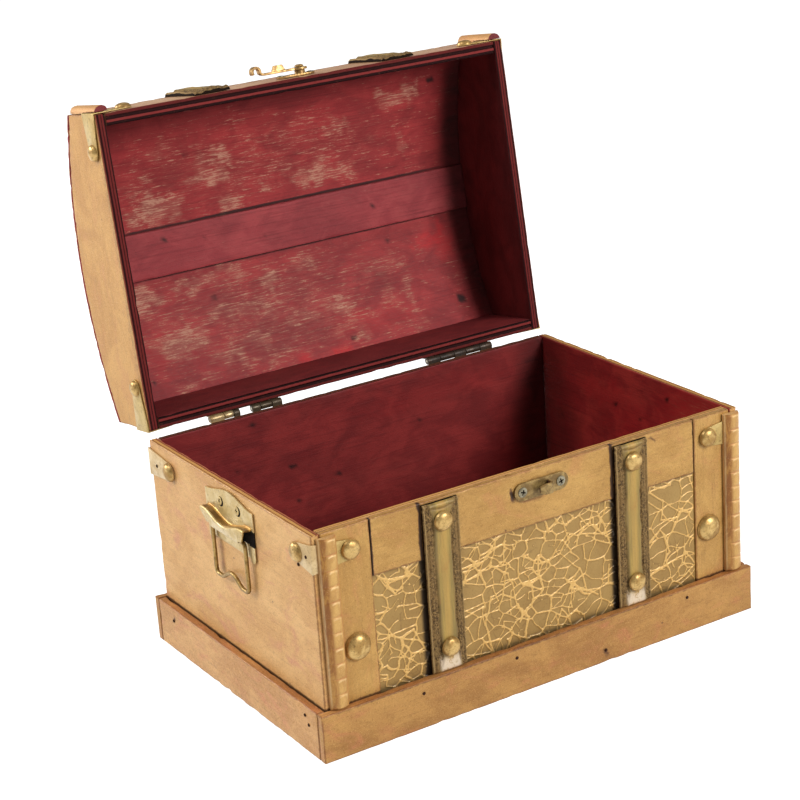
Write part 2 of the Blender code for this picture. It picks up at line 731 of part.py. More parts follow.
def bracket_nail(side, sign, brass):
    x = sign * (HALF_WIDTH + GAP - BRACKET_FRONT_REACH)
    seat = FRONT_SEAT_Y - BRACKET_THICKNESS - GAP
    dome_nail("bracket_nail_" + side, (x, seat, BRACKET_Z), OUT_OF_FRONT,
              SMALL_DOME_RADIUS, SMALL_DOME_HEIGHT, brass)


def stile_nail(side, sign, brass):
    place = (sign * (HALF_WIDTH - STILE_DOME_INSET), FRONT_SEAT_Y, LARGE_DOME_Z)
    dome_nail("stile_nail_" + side, place, OUT_OF_FRONT, LARGE_DOME_RADIUS, LARGE_DOME_HEIGHT, brass)


def strap_nails(side, brass):
    seat = FRONT_SEAT_Y - STRAP_PAD_HEIGHT - GAP
    for level, z in STRAP_DOME_Z.items():
        dome_nail("strap_nail_" + side + "_" + level, (STRAP_X[side], seat, z), OUT_OF_FRONT,
                  SMALL_DOME_RADIUS, SMALL_DOME_HEIGHT, brass)


# Hinges

def knuckle(name, x_start, x_end, radius, finish, parent=None, centre=(0.0, 0.0)):
    return cylinder(name, "X", centre, radius, x_start, x_end, finish, parent)


def rolled_outline(seat, outer, inside, axis, upward):
    """Side view of a tongue running into its knuckle."""
    sweep = math.pi + math.acos((outer - axis[0]) / KNUCKLE_RADIUS)
    points = [
        (axis[0] + KNUCKLE_RADIUS * math.cos(angle), axis[1] + upward * KNUCKLE_RADIUS * math.sin(angle))
        for angle in (math.pi + sweep * i / ROUND_SIDES for i in range(ROUND_SIDES + 1))
    ]
    return points + [(outer, inside), (seat, inside)]


def hinge_leaf(name, x_left, shares, seat, edge, far, axis, finish, parent=None):
    """A leaf from edge to far, with a rolled tongue at each share of its length."""
    outer = seat + HINGE_LEAF_THICKNESS
    upward = 1.0 if far > edge else -1.0
    low, high = min(edge, far), max(edge, far)
    made = prism(name, [(x_left, seat), (x_left + HINGE_LENGTH, seat),
                        (x_left + HINGE_LENGTH, outer), (x_left, outer)], "Z", low, high, finish, parent)
    for i, (start, end) in enumerate(shares):
        x_start = x_left + HINGE_LENGTH * start + (GAP / 2 if start > 0 else 0.0)
        x_end = x_left + HINGE_LENGTH * end - (GAP / 2 if end < 1 else 0.0)
        outline = rolled_outline(seat, outer, edge + upward * OVERRUN, axis, upward)
        roll = prism(name + "_roll_" + str(i), outline, "X", x_start, x_end, finish, parent)
        combine(made, roll, "UNION")
    bore = knuckle(name + "_bore", x_left - OVERRUN, x_left + HINGE_LENGTH + OVERRUN,
                   KNUCKLE_BORE_RADIUS, finish, parent, axis)
    combine(made, bore, "DIFFERENCE")
    return made


def hinge_body_leaf(side, brass):
    edge = HINGE_AXIS_Z - KNUCKLE_CLEAR
    hinge_leaf("hinge_body_leaf_" + side, HINGE_X[side] - HINGE_LENGTH / 2, BODY_KNUCKLE_SHARES[side],
               BACK_Y + GAP, edge, edge - HINGE_LEAF_HEIGHT, (HINGE_AXIS_Y, HINGE_AXIS_Z), brass)


def hinge_lid_leaf(side, brass, lid):
    hinge_leaf("hinge_lid_leaf_" + side, HINGE_X[side] - HINGE_LENGTH / 2, LID_KNUCKLE_SHARES[side],
               -KNUCKLE_RADIUS, KNUCKLE_CLEAR, KNUCKLE_CLEAR + HINGE_LEAF_HEIGHT, (0.0, 0.0), brass, lid)


def hinge_pins(side, steel):
    x_left = HINGE_X[side] - HINGE_LENGTH / 2
    for i, (start, end) in enumerate(PIN_SHARES[side]):
        cylinder("hinge_pin_" + side + "_" + str(i + 1), "X", (HINGE_AXIS_Y, HINGE_AXIS_Z), HINGE_PIN_RADIUS,
                 x_left + HINGE_LENGTH * start, x_left + HINGE_LENGTH * end, steel)


# Catch and swing hook

def ear_outline(face):
    """Top view of the ear: up from the plate at the right, then to the left with a gap under it."""
    under = face - EAR_CLEAR
    top = under - EAR_THICKNESS
    left, right = CATCH_X - EAR_LEFT, CATCH_X + EAR_RIGHT
    inner = right - EAR_THICKNESS
    root = face + CATCH_THICKNESS / 2
    bend = EAR_BEND / 2
    return [
        (right, root), (right, top + EAR_BEND), (right - bend, top + bend / 2), (right - EAR_BEND, top),
        (left, top), (left, under), (inner - bend, under), (inner, under + bend), (inner, root),
    ]


def catch_plate(brass):
    """Screwed plate with an ear that is open to the left, above and below."""
    face = FRONT_SEAT_Y - CATCH_THICKNESS
    outline = stadium((CATCH_X, CATCH_Z), CATCH_LENGTH, CATCH_HEIGHT, END_STEPS)
    made = prism("catch_plate", outline, "Y", FRONT_SEAT_Y, face, brass)
    half = EAR_HEIGHT / 2
    ear = prism("catch_ear", ear_outline(face), "Z", CATCH_Z - half, CATCH_Z + half, brass)
    combine(made, ear, "UNION")
    for side, sign in SIDES.items():
        centre = (CATCH_X + sign * CATCH_SCREW_SPACING / 2, CATCH_Z)
        hole = screw_hole("catch_hole_" + side, "Y", centre, face - OVERRUN, FRONT_SEAT_Y + OVERRUN, brass)
        combine(made, hole, "DIFFERENCE")


def latch_plate(brass, lid):
    """Base plate with a round boss that keeps the hook clear of the lid."""
    face, pivot_z = lid_point(LID_DEPTH, LATCH_RISE)
    seat = face - GAP
    middle = (LATCH_X - LATCH_PLATE_SHIFT, pivot_z)
    outline = stadium(middle, LATCH_PLATE_LENGTH, LATCH_PLATE_HEIGHT, END_STEPS)
    made = prism("latch_plate", outline, "Y", seat, seat - LATCH_PLATE_THICKNESS, brass, lid)
    boss_top = face - LATCH_STANDOFF + GAP
    pivot = (LATCH_X, pivot_z)
    boss = cylinder("latch_boss", "Y", pivot, LATCH_BOSS_RADIUS, seat - LATCH_PLATE_THICKNESS / 2, boss_top,
                    brass, lid)
    combine(made, boss, "UNION")
    socket = cylinder("latch_socket", "Y", pivot, RIVET_RADIUS + GAP, seat - LATCH_PLATE_THICKNESS,
                      boss_top - OVERRUN, brass, lid)
    combine(made, socket, "DIFFERENCE")
    for side, sign in SIDES.items():
        centre = (LATCH_X - LATCH_PLATE_SHIFT + sign * LATCH_SCREW_SPACING / 2, pivot_z)
        hole = screw_hole("latch_hole_" + side, "Y", centre, seat - LATCH_PLATE_THICKNESS - OVERRUN,
                          seat + OVERRUN, brass)
        hole.parent = lid
        combine(made, hole, "DIFFERENCE")


def latch_rivet(steel, lid):
    """Shouldered rivet from the boss through the hook's eye, with a low crowned head."""
    face, pivot_z = lid_point(LID_DEPTH, LATCH_RISE)
    foot = LATCH_PLATE_THICKNESS + GAP + GAP
    shoulder = HOOK_TOP + GAP
    crown = shoulder + RIVET_HEAD_HEIGHT
    profile = [
        (0.0, foot), (RIVET_RADIUS, foot), (RIVET_RADIUS, shoulder), (RIVET_HEAD_RADIUS, shoulder),
        (RIVET_HEAD_RADIUS, shoulder + RIVET_HEAD_HEIGHT / 2), (RIVET_HEAD_RADIUS * RIVET_CROWN_SHARE, crown),
        (0.0, crown),
    ]
    turned("latch_rivet", profile, (LATCH_X, face, pivot_z), OUT_OF_FRONT, steel, lid)


def hook_path():
    """Distance from the pivot and standoff of the hook strip's middle line."""
    height = LATCH_STANDOFF + HOOK_THICKNESS / 2
    start = HOOK_REACH + HOOK_BEND
    centre = (start + HOOK_CURL_RADIUS, height + HOOK_CURL_RISE)
    path = [(0.0, height), (HOOK_REACH - HOOK_BEND, height)]
    path += [(HOOK_REACH, height + HOOK_BEND * HOOK_RISE_SHARE), (start, height + HOOK_BEND)]
    sweep = -2 * math.pi * HOOK_CURL_SHARE
    return path + round_outline(centre, HOOK_CURL_RADIUS, END_STEPS, math.pi, sweep, False)


def strip_outline(path, thickness):
    """The closed side view of a bent strip of even thickness."""
    left, right = [], []
    for i, here in enumerate(path):
        before = Vector(path[max(i - 1, 0)])
        after = Vector(path[min(i + 1, len(path) - 1)])
        along = (after - before).normalized()
        out = Vector((-along[1], along[0])) * (thickness / 2)
        left.append(tuple(Vector(here) + out))
        right.append(tuple(Vector(here) - out))
    return left + right[::-1]


def thumb_outline():
    """Side view of the raised thumb tab, as distance from the pivot and standoff."""
    low = LATCH_STANDOFF + HOOK_THICKNESS / 2
    high = HOOK_TOP + THUMB_HEIGHT
    end = THUMB_START + THUMB_LENGTH
    slope = THUMB_HEIGHT / 2
    return [(THUMB_START, low), (THUMB_START, HOOK_TOP), (THUMB_START + slope, high),
            (end - slope, high), (end, HOOK_TOP), (end, low)]


def latch_hook(brass, lid):
    """Eye, flat arm, thumb tab and outward curl; it points left and swings down about its rivet."""
    face, pivot_z = lid_point(LID_DEPTH, LATCH_RISE)
    swing = axis_empty("latch_axis", (LATCH_X, face, pivot_z), parent=lid)
    made = cylinder("latch_hook", "Y", (0.0, 0.0), HOOK_EYE_RADIUS, -LATCH_STANDOFF, -HOOK_TOP, brass, swing)
    half = HOOK_WIDTH / 2
    side_view = [(-along, -height) for along, height in strip_outline(hook_path(), HOOK_THICKNESS)]
    strip = prism("hook_strip", side_view, "Z", -half, half, brass, swing)
    combine(made, strip, "UNION")
    side_view = [(-along, -height) for along, height in thumb_outline()]
    thumb = prism("hook_thumb", side_view, "Z", half - THUMB_THICKNESS, half + GAP, brass, swing)
    combine(made, thumb, "UNION")
    hole = cylinder("hook_eye_hole", "Y", (0.0, 0.0), RIVET_RADIUS + GAP, OVERRUN - LATCH_STANDOFF,
                    -HOOK_TOP - OVERRUN, brass, swing)
    combine(made, hole, "DIFFERENCE")


# Side handles

def handle_columns():
    """Places across the handle: outer tab edges, slots for the bail and the flap between."""
    half = HANDLE_WIDTH / 2
    flap = HANDLE_FLAP_WIDTH / 2
    inner = [flap * step / FLAP_STEPS for step in range(-FLAP_STEPS, FLAP_STEPS + 1)]
    return [-half, HANDLE_TAB_WIDTH - half] + inner + [half - HANDLE_TAB_WIDTH, half]


def across_share(across):
    """One at the handle's middle, falling to zero at its ends."""
    return math.cos(math.pi * across / HANDLE_WIDTH) ** 2


def lip_reach(across):
    fall = min(1.0, LIP_FALL_SHARE * across_share(across))
    return HANDLE_LIP_END_REACH + (HANDLE_LIP_REACH - HANDLE_LIP_END_REACH) * fall


def lip_height(across):
    return HANDLE_LIP_Z + HANDLE_LIP_RISE * (1.0 - across_share(across))


def handle_rows(across, outer):
    """Height and reach down one column: top edge, hood, lip, and then its tab or the flap."""
    crest = HANDLE_TOP_Z + HANDLE_CREST * across_share(across)
    reach, lip = lip_reach(across), lip_height(across)
    hood = [
        (crest, 0.0), (HANDLE_SCREW_Z, 0.0), (HANDLE_CREASE_Z, 0.0),
        ((HANDLE_CREASE_Z + lip) / 2, reach * LIP_HALFWAY_SHARE), (lip, reach),
    ]
    if outer:
        return hood + [((HANDLE_LIP_Z + HANDLE_TAB_Z) / 2, 0.0), (HANDLE_TAB_Z, 0.0)]
    halfway = ((lip + HANDLE_FLAP_Z) / 2, (reach + HANDLE_FLAP_REACH) / 2)
    return hood + [halfway, (HANDLE_FLAP_Z, HANDLE_FLAP_REACH)]


def handle_sheet(seat, sign):
    """Points and faces of the stamped sheet, left open at the two slots beside the flap."""
    columns = handle_columns()
    last = len(columns) - 1
    points = []
    table = []
    for number, across in enumerate(columns):
        outer = number < 2 or number > last - 2
        rows = handle_rows(across, outer)
        table.append([len(points) + i for i in range(len(rows))])
        points += [(seat + sign * reach, HANDLE_Y + across, height) for height, reach in rows]
    faces = []
    for number in range(last):
        slot = number in (1, last - 2)
        here, there = table[number], table[number + 1]
        rows = len(here) - 1 - (2 if slot else 0)
        faces += [(here[i], there[i], there[i + 1], here[i + 1]) for i in range(rows)]
    return points, faces


def handle_plate(side, sign, brass):
    """Stamped plate with a hood and flap pressed out over the bail's pivot and a back behind it."""
    seat = sign * (HALF_WIDTH + GAP)
    points, faces = handle_sheet(seat, sign)
    made = sheet_metal("handle_plate_" + side, points, faces, HANDLE_SHEET, brass)
    face_outward(made, Vector((sign, 0.0, 0.0)))
    made.data.shade_smooth()
    made.data.set_sharp_from_angle(angle=SMOOTH_ANGLE)
    half = HANDLE_WIDTH / 2 - HANDLE_TAB_WIDTH - GAP
    outline = [(seat, HANDLE_Y - half), (seat + sign * HANDLE_SHEET, HANDLE_Y - half),
               (seat + sign * HANDLE_SHEET, HANDLE_Y + half), (seat, HANDLE_Y + half)]
    back = prism("handle_back_" + side, outline, "Z", HANDLE_BACK_Z, HANDLE_CREASE_Z + OVERRUN, brass)
    combine(made, back, "UNION")
    for end, step in SIDES.items():
        centre = (HANDLE_Y + step * HANDLE_SCREW_SPACING / 2, HANDLE_SCREW_Z)
        hole = screw_hole("handle_hole_" + side + "_" + end, "X", centre, seat - sign * OVERRUN,
                          seat + sign * (HANDLE_SHEET + OVERRUN), brass)
        combine(made, hole, "DIFFERENCE")


def half_bail():
    """Half of the wire's path, from its stub under the hood to the middle of the grip."""
    half = BAIL_WIDTH / 2
    bend = BAIL_BEND
    path = [(half - BAIL_STUB, 0.0), (half - BAIL_STUB / 2, 0.0)]
    path += round_outline((half - bend, -bend), bend, BEND_STEPS, math.pi / 2, -math.pi / 2, False)
    path.append((half, -BAIL_DROP / 2))
    path += round_outline((half - bend, bend - BAIL_DROP), bend, BEND_STEPS, 0.0, -math.pi / 2, False)
    for step in range(1, BUMP_STEPS + 1):
        share = 1.0 - step / BUMP_STEPS
        path.append((BAIL_BUMP_HALF * share, BAIL_BUMP * (1.0 + math.cos(math.pi * share)) / 2 - BAIL_DROP))
    return path


def bail(side, sign, steel):
    """Bent wire handle, hanging from its axis behind the flap."""
    axis = axis_empty("bail_axis_" + side, (sign * (HALF_WIDTH + BAIL_AXIS_REACH), HANDLE_Y, BAIL_AXIS_Z))
    path = half_bail()
    path += [(-across, height) for across, height in reversed(path[:-1])]
    curve = bpy.data.curves.new("bail_wire_" + side, "CURVE")
    curve.dimensions = "3D"
    curve.bevel_depth = BAIL_WIRE_RADIUS
    curve.bevel_resolution = 2
    curve.use_fill_caps = True
    spline = curve.splines.new("POLY")
    spline.points.add(len(path) - 1)
    for point, (across, height) in zip(spline.points, path):
        point.co = (0.0, across, height, 1.0)
    made = bpy.data.objects.new("bail_" + side, curve)
    made.data.materials.append(steel)
    made.parent = axis
    bpy.context.scene.collection.objects.link(made)


# Materials

def gold_wood():
    return material("Gold painted wood", (0.60, 0.40, 0.20), 0.55, 0.15)


def red_wood():
    return material("Red stained wood", (0.22, 0.03, 0.03), 0.50)


def crackle_leather():
    return material("Crackled leather", (0.42, 0.28, 0.11), 0.55, 0.2)


def strap_leather():
    return material("Strap leather", (0.30, 0.22, 0.09), 0.60, 0.1)


def antique_brass():
    return material("Antique brass", (0.55, 0.40, 0.16), 0.32, 0.9)


def plated_steel():
    return material("Brass-plated steel", (0.50, 0.38, 0.18), 0.28, 0.9)


# The whole chest

def build_body(gold, red, leather):
    floor_panel(red)
    front_wall(red)
    back_wall(gold)
    plinth_long("front", -1.0, gold)
    plinth_long("back", 1.0, gold)
    front_rail(gold)
    field_panel(leather)
    for side, sign in SIDES.items():
        side_wall(side, sign, gold)
        plinth_short(side, sign, gold)
        stile(side, sign, gold)
        corner_moulding(side, sign, gold)


def build_lid(gold, red, lid):
    lid_front(red, lid)
    lid_back(red, lid)
    lid_skin(gold, lid)
    lid_batten(red, lid)
    for side, sign in SIDES.items():
        lid_end(side, sign, gold, lid)
        lid_moulding(side, sign, gold, lid)


def build_hardware(brass, steel, lid):
    catch_plate(brass)
    latch_plate(brass, lid)
    latch_rivet(steel, lid)
    latch_hook(brass, lid)
    for side, sign in SIDES.items():
        body_bracket(side, sign, brass)
        lid_bracket(side, sign, brass, lid)
        bracket_nail(side, sign, brass)
        stile_nail(side, sign, brass)
        strap_nails(side, brass)
        hinge_body_leaf(side, brass)
        hinge_lid_leaf(side, brass, lid)
        hinge_pins(side, steel)
        handle_plate(side, sign, brass)
        bail(side, sign, steel)


def build_chest():
    clear_scene()
    gold, red, brass, steel = gold_wood(), red_wood(), antique_brass(), plated_steel()
    straps = strap_leather()
    lid = axis_empty("lid_axis", (0.0, HINGE_AXIS_Y, HINGE_AXIS_Z), (-LID_OPEN_ANGLE, 0.0, 0.0))
    build_body(gold, red, crackle_leather())
    build_lid(gold, red, lid)
    for side in SIDES:
        front_strap(side, straps)
        lid_strap(side, straps, lid)
    build_hardware(brass, steel, lid)


build_chest()
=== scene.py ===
"""The looks of the wooden treasure box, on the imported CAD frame.

Lengths are written in millimetres and become metres where a mesh is made. The body's pieces are shaped in the
box's own frame, and the lid's in the frame of the closed lid, which is then turned back to the open rest place.
"""

import math

import bmesh
import bpy
import numpy as np
from mathutils import Matrix, Vector, noise


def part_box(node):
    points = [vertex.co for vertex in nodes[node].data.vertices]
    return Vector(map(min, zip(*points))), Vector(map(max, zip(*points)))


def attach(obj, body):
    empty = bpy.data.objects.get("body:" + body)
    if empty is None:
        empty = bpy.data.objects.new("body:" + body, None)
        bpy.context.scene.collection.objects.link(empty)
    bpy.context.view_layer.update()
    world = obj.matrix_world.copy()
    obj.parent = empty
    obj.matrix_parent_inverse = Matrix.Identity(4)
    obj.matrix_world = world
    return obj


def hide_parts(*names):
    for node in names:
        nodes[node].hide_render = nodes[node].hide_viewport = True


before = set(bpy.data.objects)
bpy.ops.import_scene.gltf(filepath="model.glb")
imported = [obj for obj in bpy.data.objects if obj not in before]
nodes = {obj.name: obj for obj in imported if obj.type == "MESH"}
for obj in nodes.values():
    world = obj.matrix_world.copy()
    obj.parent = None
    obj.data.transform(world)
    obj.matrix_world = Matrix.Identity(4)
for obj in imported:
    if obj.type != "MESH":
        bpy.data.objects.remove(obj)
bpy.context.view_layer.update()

# Frames: metres to millimetres for the body, and the closed lid's place for the lid
MM = 0.001
HINGE_Y, HINGE_Z, OPEN_TURN = 101.1, 136.3, 98.6
TO_HINGE = Matrix.Translation((0, HINGE_Y, HINGE_Z))
OPENED = TO_HINGE @ Matrix.Rotation(math.radians(-OPEN_TURN), 4, "X") @ TO_HINGE.inverted()
BODY_FRAME = Matrix.Scale(MM, 4)
LID_FRAME = BODY_FRAME @ OPENED

# Sizes that the scene shares with the CAD
WALL_X, WALL_Y = 150.0, 98.5
FRONT_WALL_Y, LID_END_X = -95.0, 147.5
SEAT_Y = -98.8  # the front face that stiles, rail, straps and mouldings sit on
PLINTH_TOP = 29.5
STRAP_WIDTH, STRAP_Z = 24.0, (29.8, 133.8)
MOULDING_Z = (29.8, 132.8)
LID_FRONT_Y, LID_BACK_Y, LID_RIM_Z = -97.0, 98.5, HINGE_Z - 1.0

# Each hand with its sign along x, and where its strap and its moulding stand
HANDS = (("left", -1, -67.5, -141.2), ("right", 1, 67.05, 144.1))
LEFT, RIGHT, FRONT, BACK = (-1, 0, 0), (1, 0, 0), (0, -1, 0), (0, 1, 0)


# Colours

def srgb(red, green, blue):
    """A colour written as it looks on the screen, 0 to 255, as the linear colour that a shader takes."""
    parts = [c / 255 for c in (red, green, blue)]
    return tuple(c / 12.92 if c <= 0.04045 else ((c + 0.055) / 1.055) ** 2.4 for c in parts) + (1.0,)


def scaled(tone, share):
    """A lighter or darker tone."""
    return tuple(min(255, share * c) for c in tone)


class Value:
    """What a node gives: a number, which adds, subtracts and multiplies as nodes do, or a colour."""

    def __init__(self, graph, socket):
        self.graph, self.socket = graph, socket

    def __add__(self, other):
        return self.graph.math("ADD", self, other)

    def __sub__(self, other):
        return self.graph.math("SUBTRACT", self, other)

    def __mul__(self, other):
        return self.graph.math("MULTIPLY", self, other)

    def __abs__(self):
        return self.graph.math("ABSOLUTE", self)

    def band(self, low, high, out_low=0.0, out_high=1.0):
        """This number, taken smoothly from low..high to out_low..out_high and held there outside."""
        return self.graph.get("ShaderNodeMapRange", "Result", {
            "Value": self, "From Min": low, "From Max": high, "To Min": out_low, "To Max": out_high},
            interpolation_type="SMOOTHSTEP")


class Graph:
    """The node tree of a material or of the world, with a short method for each kind of node in use."""

    def __init__(self, owner, output="ShaderNodeOutputMaterial"):
        self.owner = bpy.data.materials.new(owner) if isinstance(owner, str) else owner
        self.owner.use_nodes = True
        self.tree = self.owner.node_tree
        self.tree.nodes.clear()
        self.output = self.tree.nodes.new(output)

    def get(self, kind, output, inputs=(), **settings):
        """One output of a new node."""
        node = self.tree.nodes.new(kind)
        for key, value in settings.items():
            setattr(node, key, value)
        for key, value in dict(inputs).items():
            self.feed(node.inputs[key], value)
        return Value(self, node.outputs[output])

    def feed(self, socket, value):
        if isinstance(value, Value):
            self.tree.links.new(value.socket, socket)
        else:
            socket.default_value = value

    def attribute(self, name, output="Fac"):
        return self.get("ShaderNodeAttribute", output, attribute_name=name)

    def ray(self, *kinds):
        """1 for rays of any of these kinds."""
        first, *others = (self.get("ShaderNodeLightPath", f"Is {kind} Ray") for kind in kinds)
        for other in others:
            first = self.math("MAXIMUM", first, other)
        return first

    def place(self, scale=(1, 1, 1), shift=(0, 0, 0)):
        """The piece's own coordinates in millimetres: along the grain, across it, and through the board."""
        where = self.attribute("place", "Vector")
        return self.get("ShaderNodeMapping", "Vector", {"Vector": where, "Location": shift, "Scale": scale})

    def part(self, axis, where=None):
        """One coordinate of a place."""
        return self.get("ShaderNodeSeparateXYZ", axis, {"Vector": where or self.attribute("place", "Vector")})

    def noise(self, stretch=(1, 1, 1), shift=(0, 0, 0), detail=3, rough=0.5, twist=0.0, scale=1.0, where=None):
        """Smooth noise over the piece's own place, or over another one."""
        return self.get("ShaderNodeTexNoise", "Fac", {
            "Vector": where or self.place(stretch, shift), "Scale": scale, "Detail": detail, "Roughness": rough,
            "Distortion": twist})

    def spots(self, size, shift):
        """The distance to the nearest of scattered points, size mm apart, as a share of size."""
        where = self.place((1 / size,) * 3, shift)
        return self.get("ShaderNodeTexVoronoi", "Distance", {"Vector": where, "Scale": 1.0})

    def math(self, operation, a, b=0.0):
        return self.get("ShaderNodeMath", 0, {0: a, 1: b}, operation=operation)

    def mix(self, share, a, b):
        """A share of b laid over a; a colour is a Value, or a tone from 0 to 255."""
        a, b = (srgb(*tone) if isinstance(tone, tuple) else tone for tone in (a, b))
        return self.get("ShaderNodeMix", 2, {0: share, 6: a, 7: b}, data_type="RGBA", clamp_factor=True)

    def coats(self, colour, *coats):
        """A colour with (share, tone) coats laid over it in turn."""
        for share, tone in coats:
            colour = self.mix(share, colour, tone)
        return colour

    def finish(self, colour, rough, specular, metallic=0.0, bump=None):
        """The material, with bump given as a height, a strength and a distance in mm."""
        inputs = {"Base Color": colour, "Roughness": rough, "Specular IOR Level": specular, "Metallic": metallic}
        if bump:
            height, strength, distance = bump
            inputs["Normal"] = self.get("ShaderNodeBump", "Normal",
                                        {"Height": height, "Strength": strength, "Distance": distance * MM})
        self.end(self.get("ShaderNodeBsdfPrincipled", "BSDF", inputs))
        return self.owner

    def end(self, shader):
        self.feed(self.output.inputs["Surface"], shader)


# Materials of the wood

def gold_paint(name, light, deep, pink, stain=0.35, seed=0.0, grain_share=0.2):
    """Gold paint rubbed over wood: cloudy tone, painted glints, thin grain, pinkish rubs, and dark marks that are
    stains, joints, darkening above the plinth and painted shadows.
    """
    g = Graph(name)
    grain = g.noise((0.03, 0.7, 0.7), (seed, seed, 0), 4, 0.6, 0.4)
    cloud = g.noise((0.02, 0.035, 0.035), (seed, 3, 1), 4, 0.6, 0.8)
    rub = g.noise((0.035, 0.06, 0.06), (7, seed, 2), 5, 0.62, 1.0)
    mottle = g.noise((0.22, 0.3, 0.3), (2, seed, 8), 4, 0.7, 0.6)
    chip = g.noise((0.3, 0.5, 0.5), (seed, 0, 5), 4, 0.7)
    speck = g.noise(detail=2, rough=0.8, scale=1.05)
    # Painted glints: bright specks that stand in for the paint's sparkle
    painted_glint = g.noise(shift=(5, 5, seed), detail=1, scale=2.3)
    dark = g.attribute("dark")
    worn = (g.attribute("edge") * 0.6 + chip * 0.8).band(0.74, 0.92)
    ragged = (dark + (chip - 0.5) * 0.9).band(0.3, 0.85)
    colour = g.coats(
        g.mix(cloud.band(0.34, 0.66), light, deep),
        (rub.band(0.5, 0.72) * stain, pink),
        (mottle.band(0.5, 0.72, 0.0, 0.4), scaled(deep, 0.88)),
        (mottle.band(0.48, 0.3, 0.0, 0.35), scaled(light, 1.06)),
        (grain.band(0.5, 0.78) * grain_share, (120, 74, 36)),
        (speck.band(0.47, 0.26, 0.0, 0.5), (124, 84, 40)),
        (painted_glint.band(0.58, 0.78, 0.0, 0.42), (244, 208, 140)),
        (worn * 0.62, (128, 80, 42)),
        (ragged * 0.85, (84, 48, 28)),
        (dark.band(0.72, 1.0, 0.0, 0.85), (36, 18, 4)),
        (g.spots(20, (seed, 11, 0)).band(0.05, 0.02, 0.0, 0.7), (78, 46, 30)))
    return g.finish(colour, speck.band(0.3, 0.7, 0.6, 0.36), 0.4, 0.2, (speck * 0.6 + grain * 0.6, 0.5, 0.3))


def red_stain(name, base, bright, pale, wear=0.0, seed=0.0, fibre_share=0.4):
    """Dark red stain on raw ply: grain streaks, rubbed patches of pale wood, and dark and bright marks where given,
    which are stains, painted shade and painted light.
    """
    g = Graph(name)
    fibre = g.noise((0.025, 0.9, 0.9), (seed, 0, 0), 4, 0.6, 0.3)
    streak = g.noise((0.1, 1.0, 1.0), (3, seed, 0), 6, 0.68, 0.5)
    cloud = g.noise((0.04, 0.06, 0.06), (1, 6, seed), 4, 0.6, 0.9)
    blotch = g.noise((0.02, 0.03, 0.03), (4, 2, seed), 3, 0.6, 0.6)
    fine = g.noise((0.5, 1.9, 1.9), rough=0.75)
    worn, dark, glow = (g.attribute(key) for key in ("worn", "dark", "bright"))
    # haze and rubbed lay pale wood where the worn mark lies; on the right wall's inside that mark is painted light
    haze = worn + (streak - 0.5) * 2.4
    level = (streak - 0.5) * 1.35 + 0.5 + worn * 0.22 + (cloud - 0.5) * 0.4 + (fine - 0.5) * 0.55
    rubbed = level.band(0.67 - wear, 0.84 - wear, 0.0, 0.8)
    stained = dark + (cloud - 0.5) * 0.8
    colour = g.coats(
        g.mix(cloud.band(0.36, 0.64), base, bright),
        (blotch.band(0.42, 0.6, 0.0, 0.3), scaled(base, 0.72)),
        (fibre.band(0.48, 0.74, 0.0, fibre_share), (84, 16, 20)),
        (fine.band(0.46, 0.25, 0.0, 0.5), (72, 14, 18)),
        (haze.band(0.1, 1.3, 0.0, 0.3), pale),
        (rubbed, pale),
        (glow * streak.band(0.3, 0.6, 0.9, 0.5), (196, 34, 38)),
        (stained.band(0.12, 0.95, 0.0, 0.92), (30, 8, 8)))
    height = fibre * 0.6 + fine * 0.8 - rubbed * 0.5
    return g.finish(colour, fine.band(0.2, 0.8, 0.5, 0.72), 0.25, bump=(height, 0.6, 0.3))


def ply_edge(name, layers, soft=0.22, wave_share=0.5):
    """A cut ply edge: layers of colour through the board, each from a depth in mm, with stained end grain."""
    g = Graph(name)
    depth = g.part("Z") + (g.noise((0.05, 0.2, 0.2), rough=0.6) - 0.5) * wave_share
    fine = g.noise((0.5, 1.6, 1.6), rough=0.7)
    colour = g.coats(
        layers[0][1], *((depth.band(start - soft, start + soft), tone) for start, tone in layers[1:]),
        (fine.band(0.52, 0.78, 0.0, 0.55), (40, 18, 16)),
        (fine.band(0.42, 0.24, 0.0, 0.25), (170, 96, 74)))
    return g.finish(colour, 0.7, 0.1, bump=(fine, 0.5, 0.3))


# Materials of the crackled field, the straps, the mouldings and the metal

def crackle(name):
    """Olive base with raised golden veins, read from the relief's own height, with painted shade at the veins' feet,
    painted glints on the gold, and painted shadow where marked dark.
    """
    g = Graph(name)
    vein = g.attribute("vein")
    cloud = g.noise((0.03, 0.03, 0.03), detail=4, rough=0.6)
    fine = g.noise(rough=0.7, scale=0.9)
    # Painted glints: bright specks on the veins' gold
    painted_glint = g.noise(detail=1, scale=2.2)
    gold = g.coats(
        g.mix(fine.band(0.35, 0.68), (222, 180, 106), (206, 158, 84)),
        (painted_glint.band(0.55, 0.75, 0.0, 0.45), (244, 210, 142)))
    colour = g.coats(
        g.mix(cloud.band(0.34, 0.66), (168, 135, 77), (155, 121, 65)),
        (fine.band(0.48, 0.28, 0.0, 0.5), (128, 96, 52)),
        (g.attribute("foot") * 0.5, (122, 92, 46)),
        (vein.band(0.1, 0.6), gold),
        (g.attribute("dark"), (38, 22, 5)))
    return g.finish(colour, vein.band(0.1, 0.7, 0.6, 0.36), 0.45, 0.15, (fine, 0.35, 0.22))


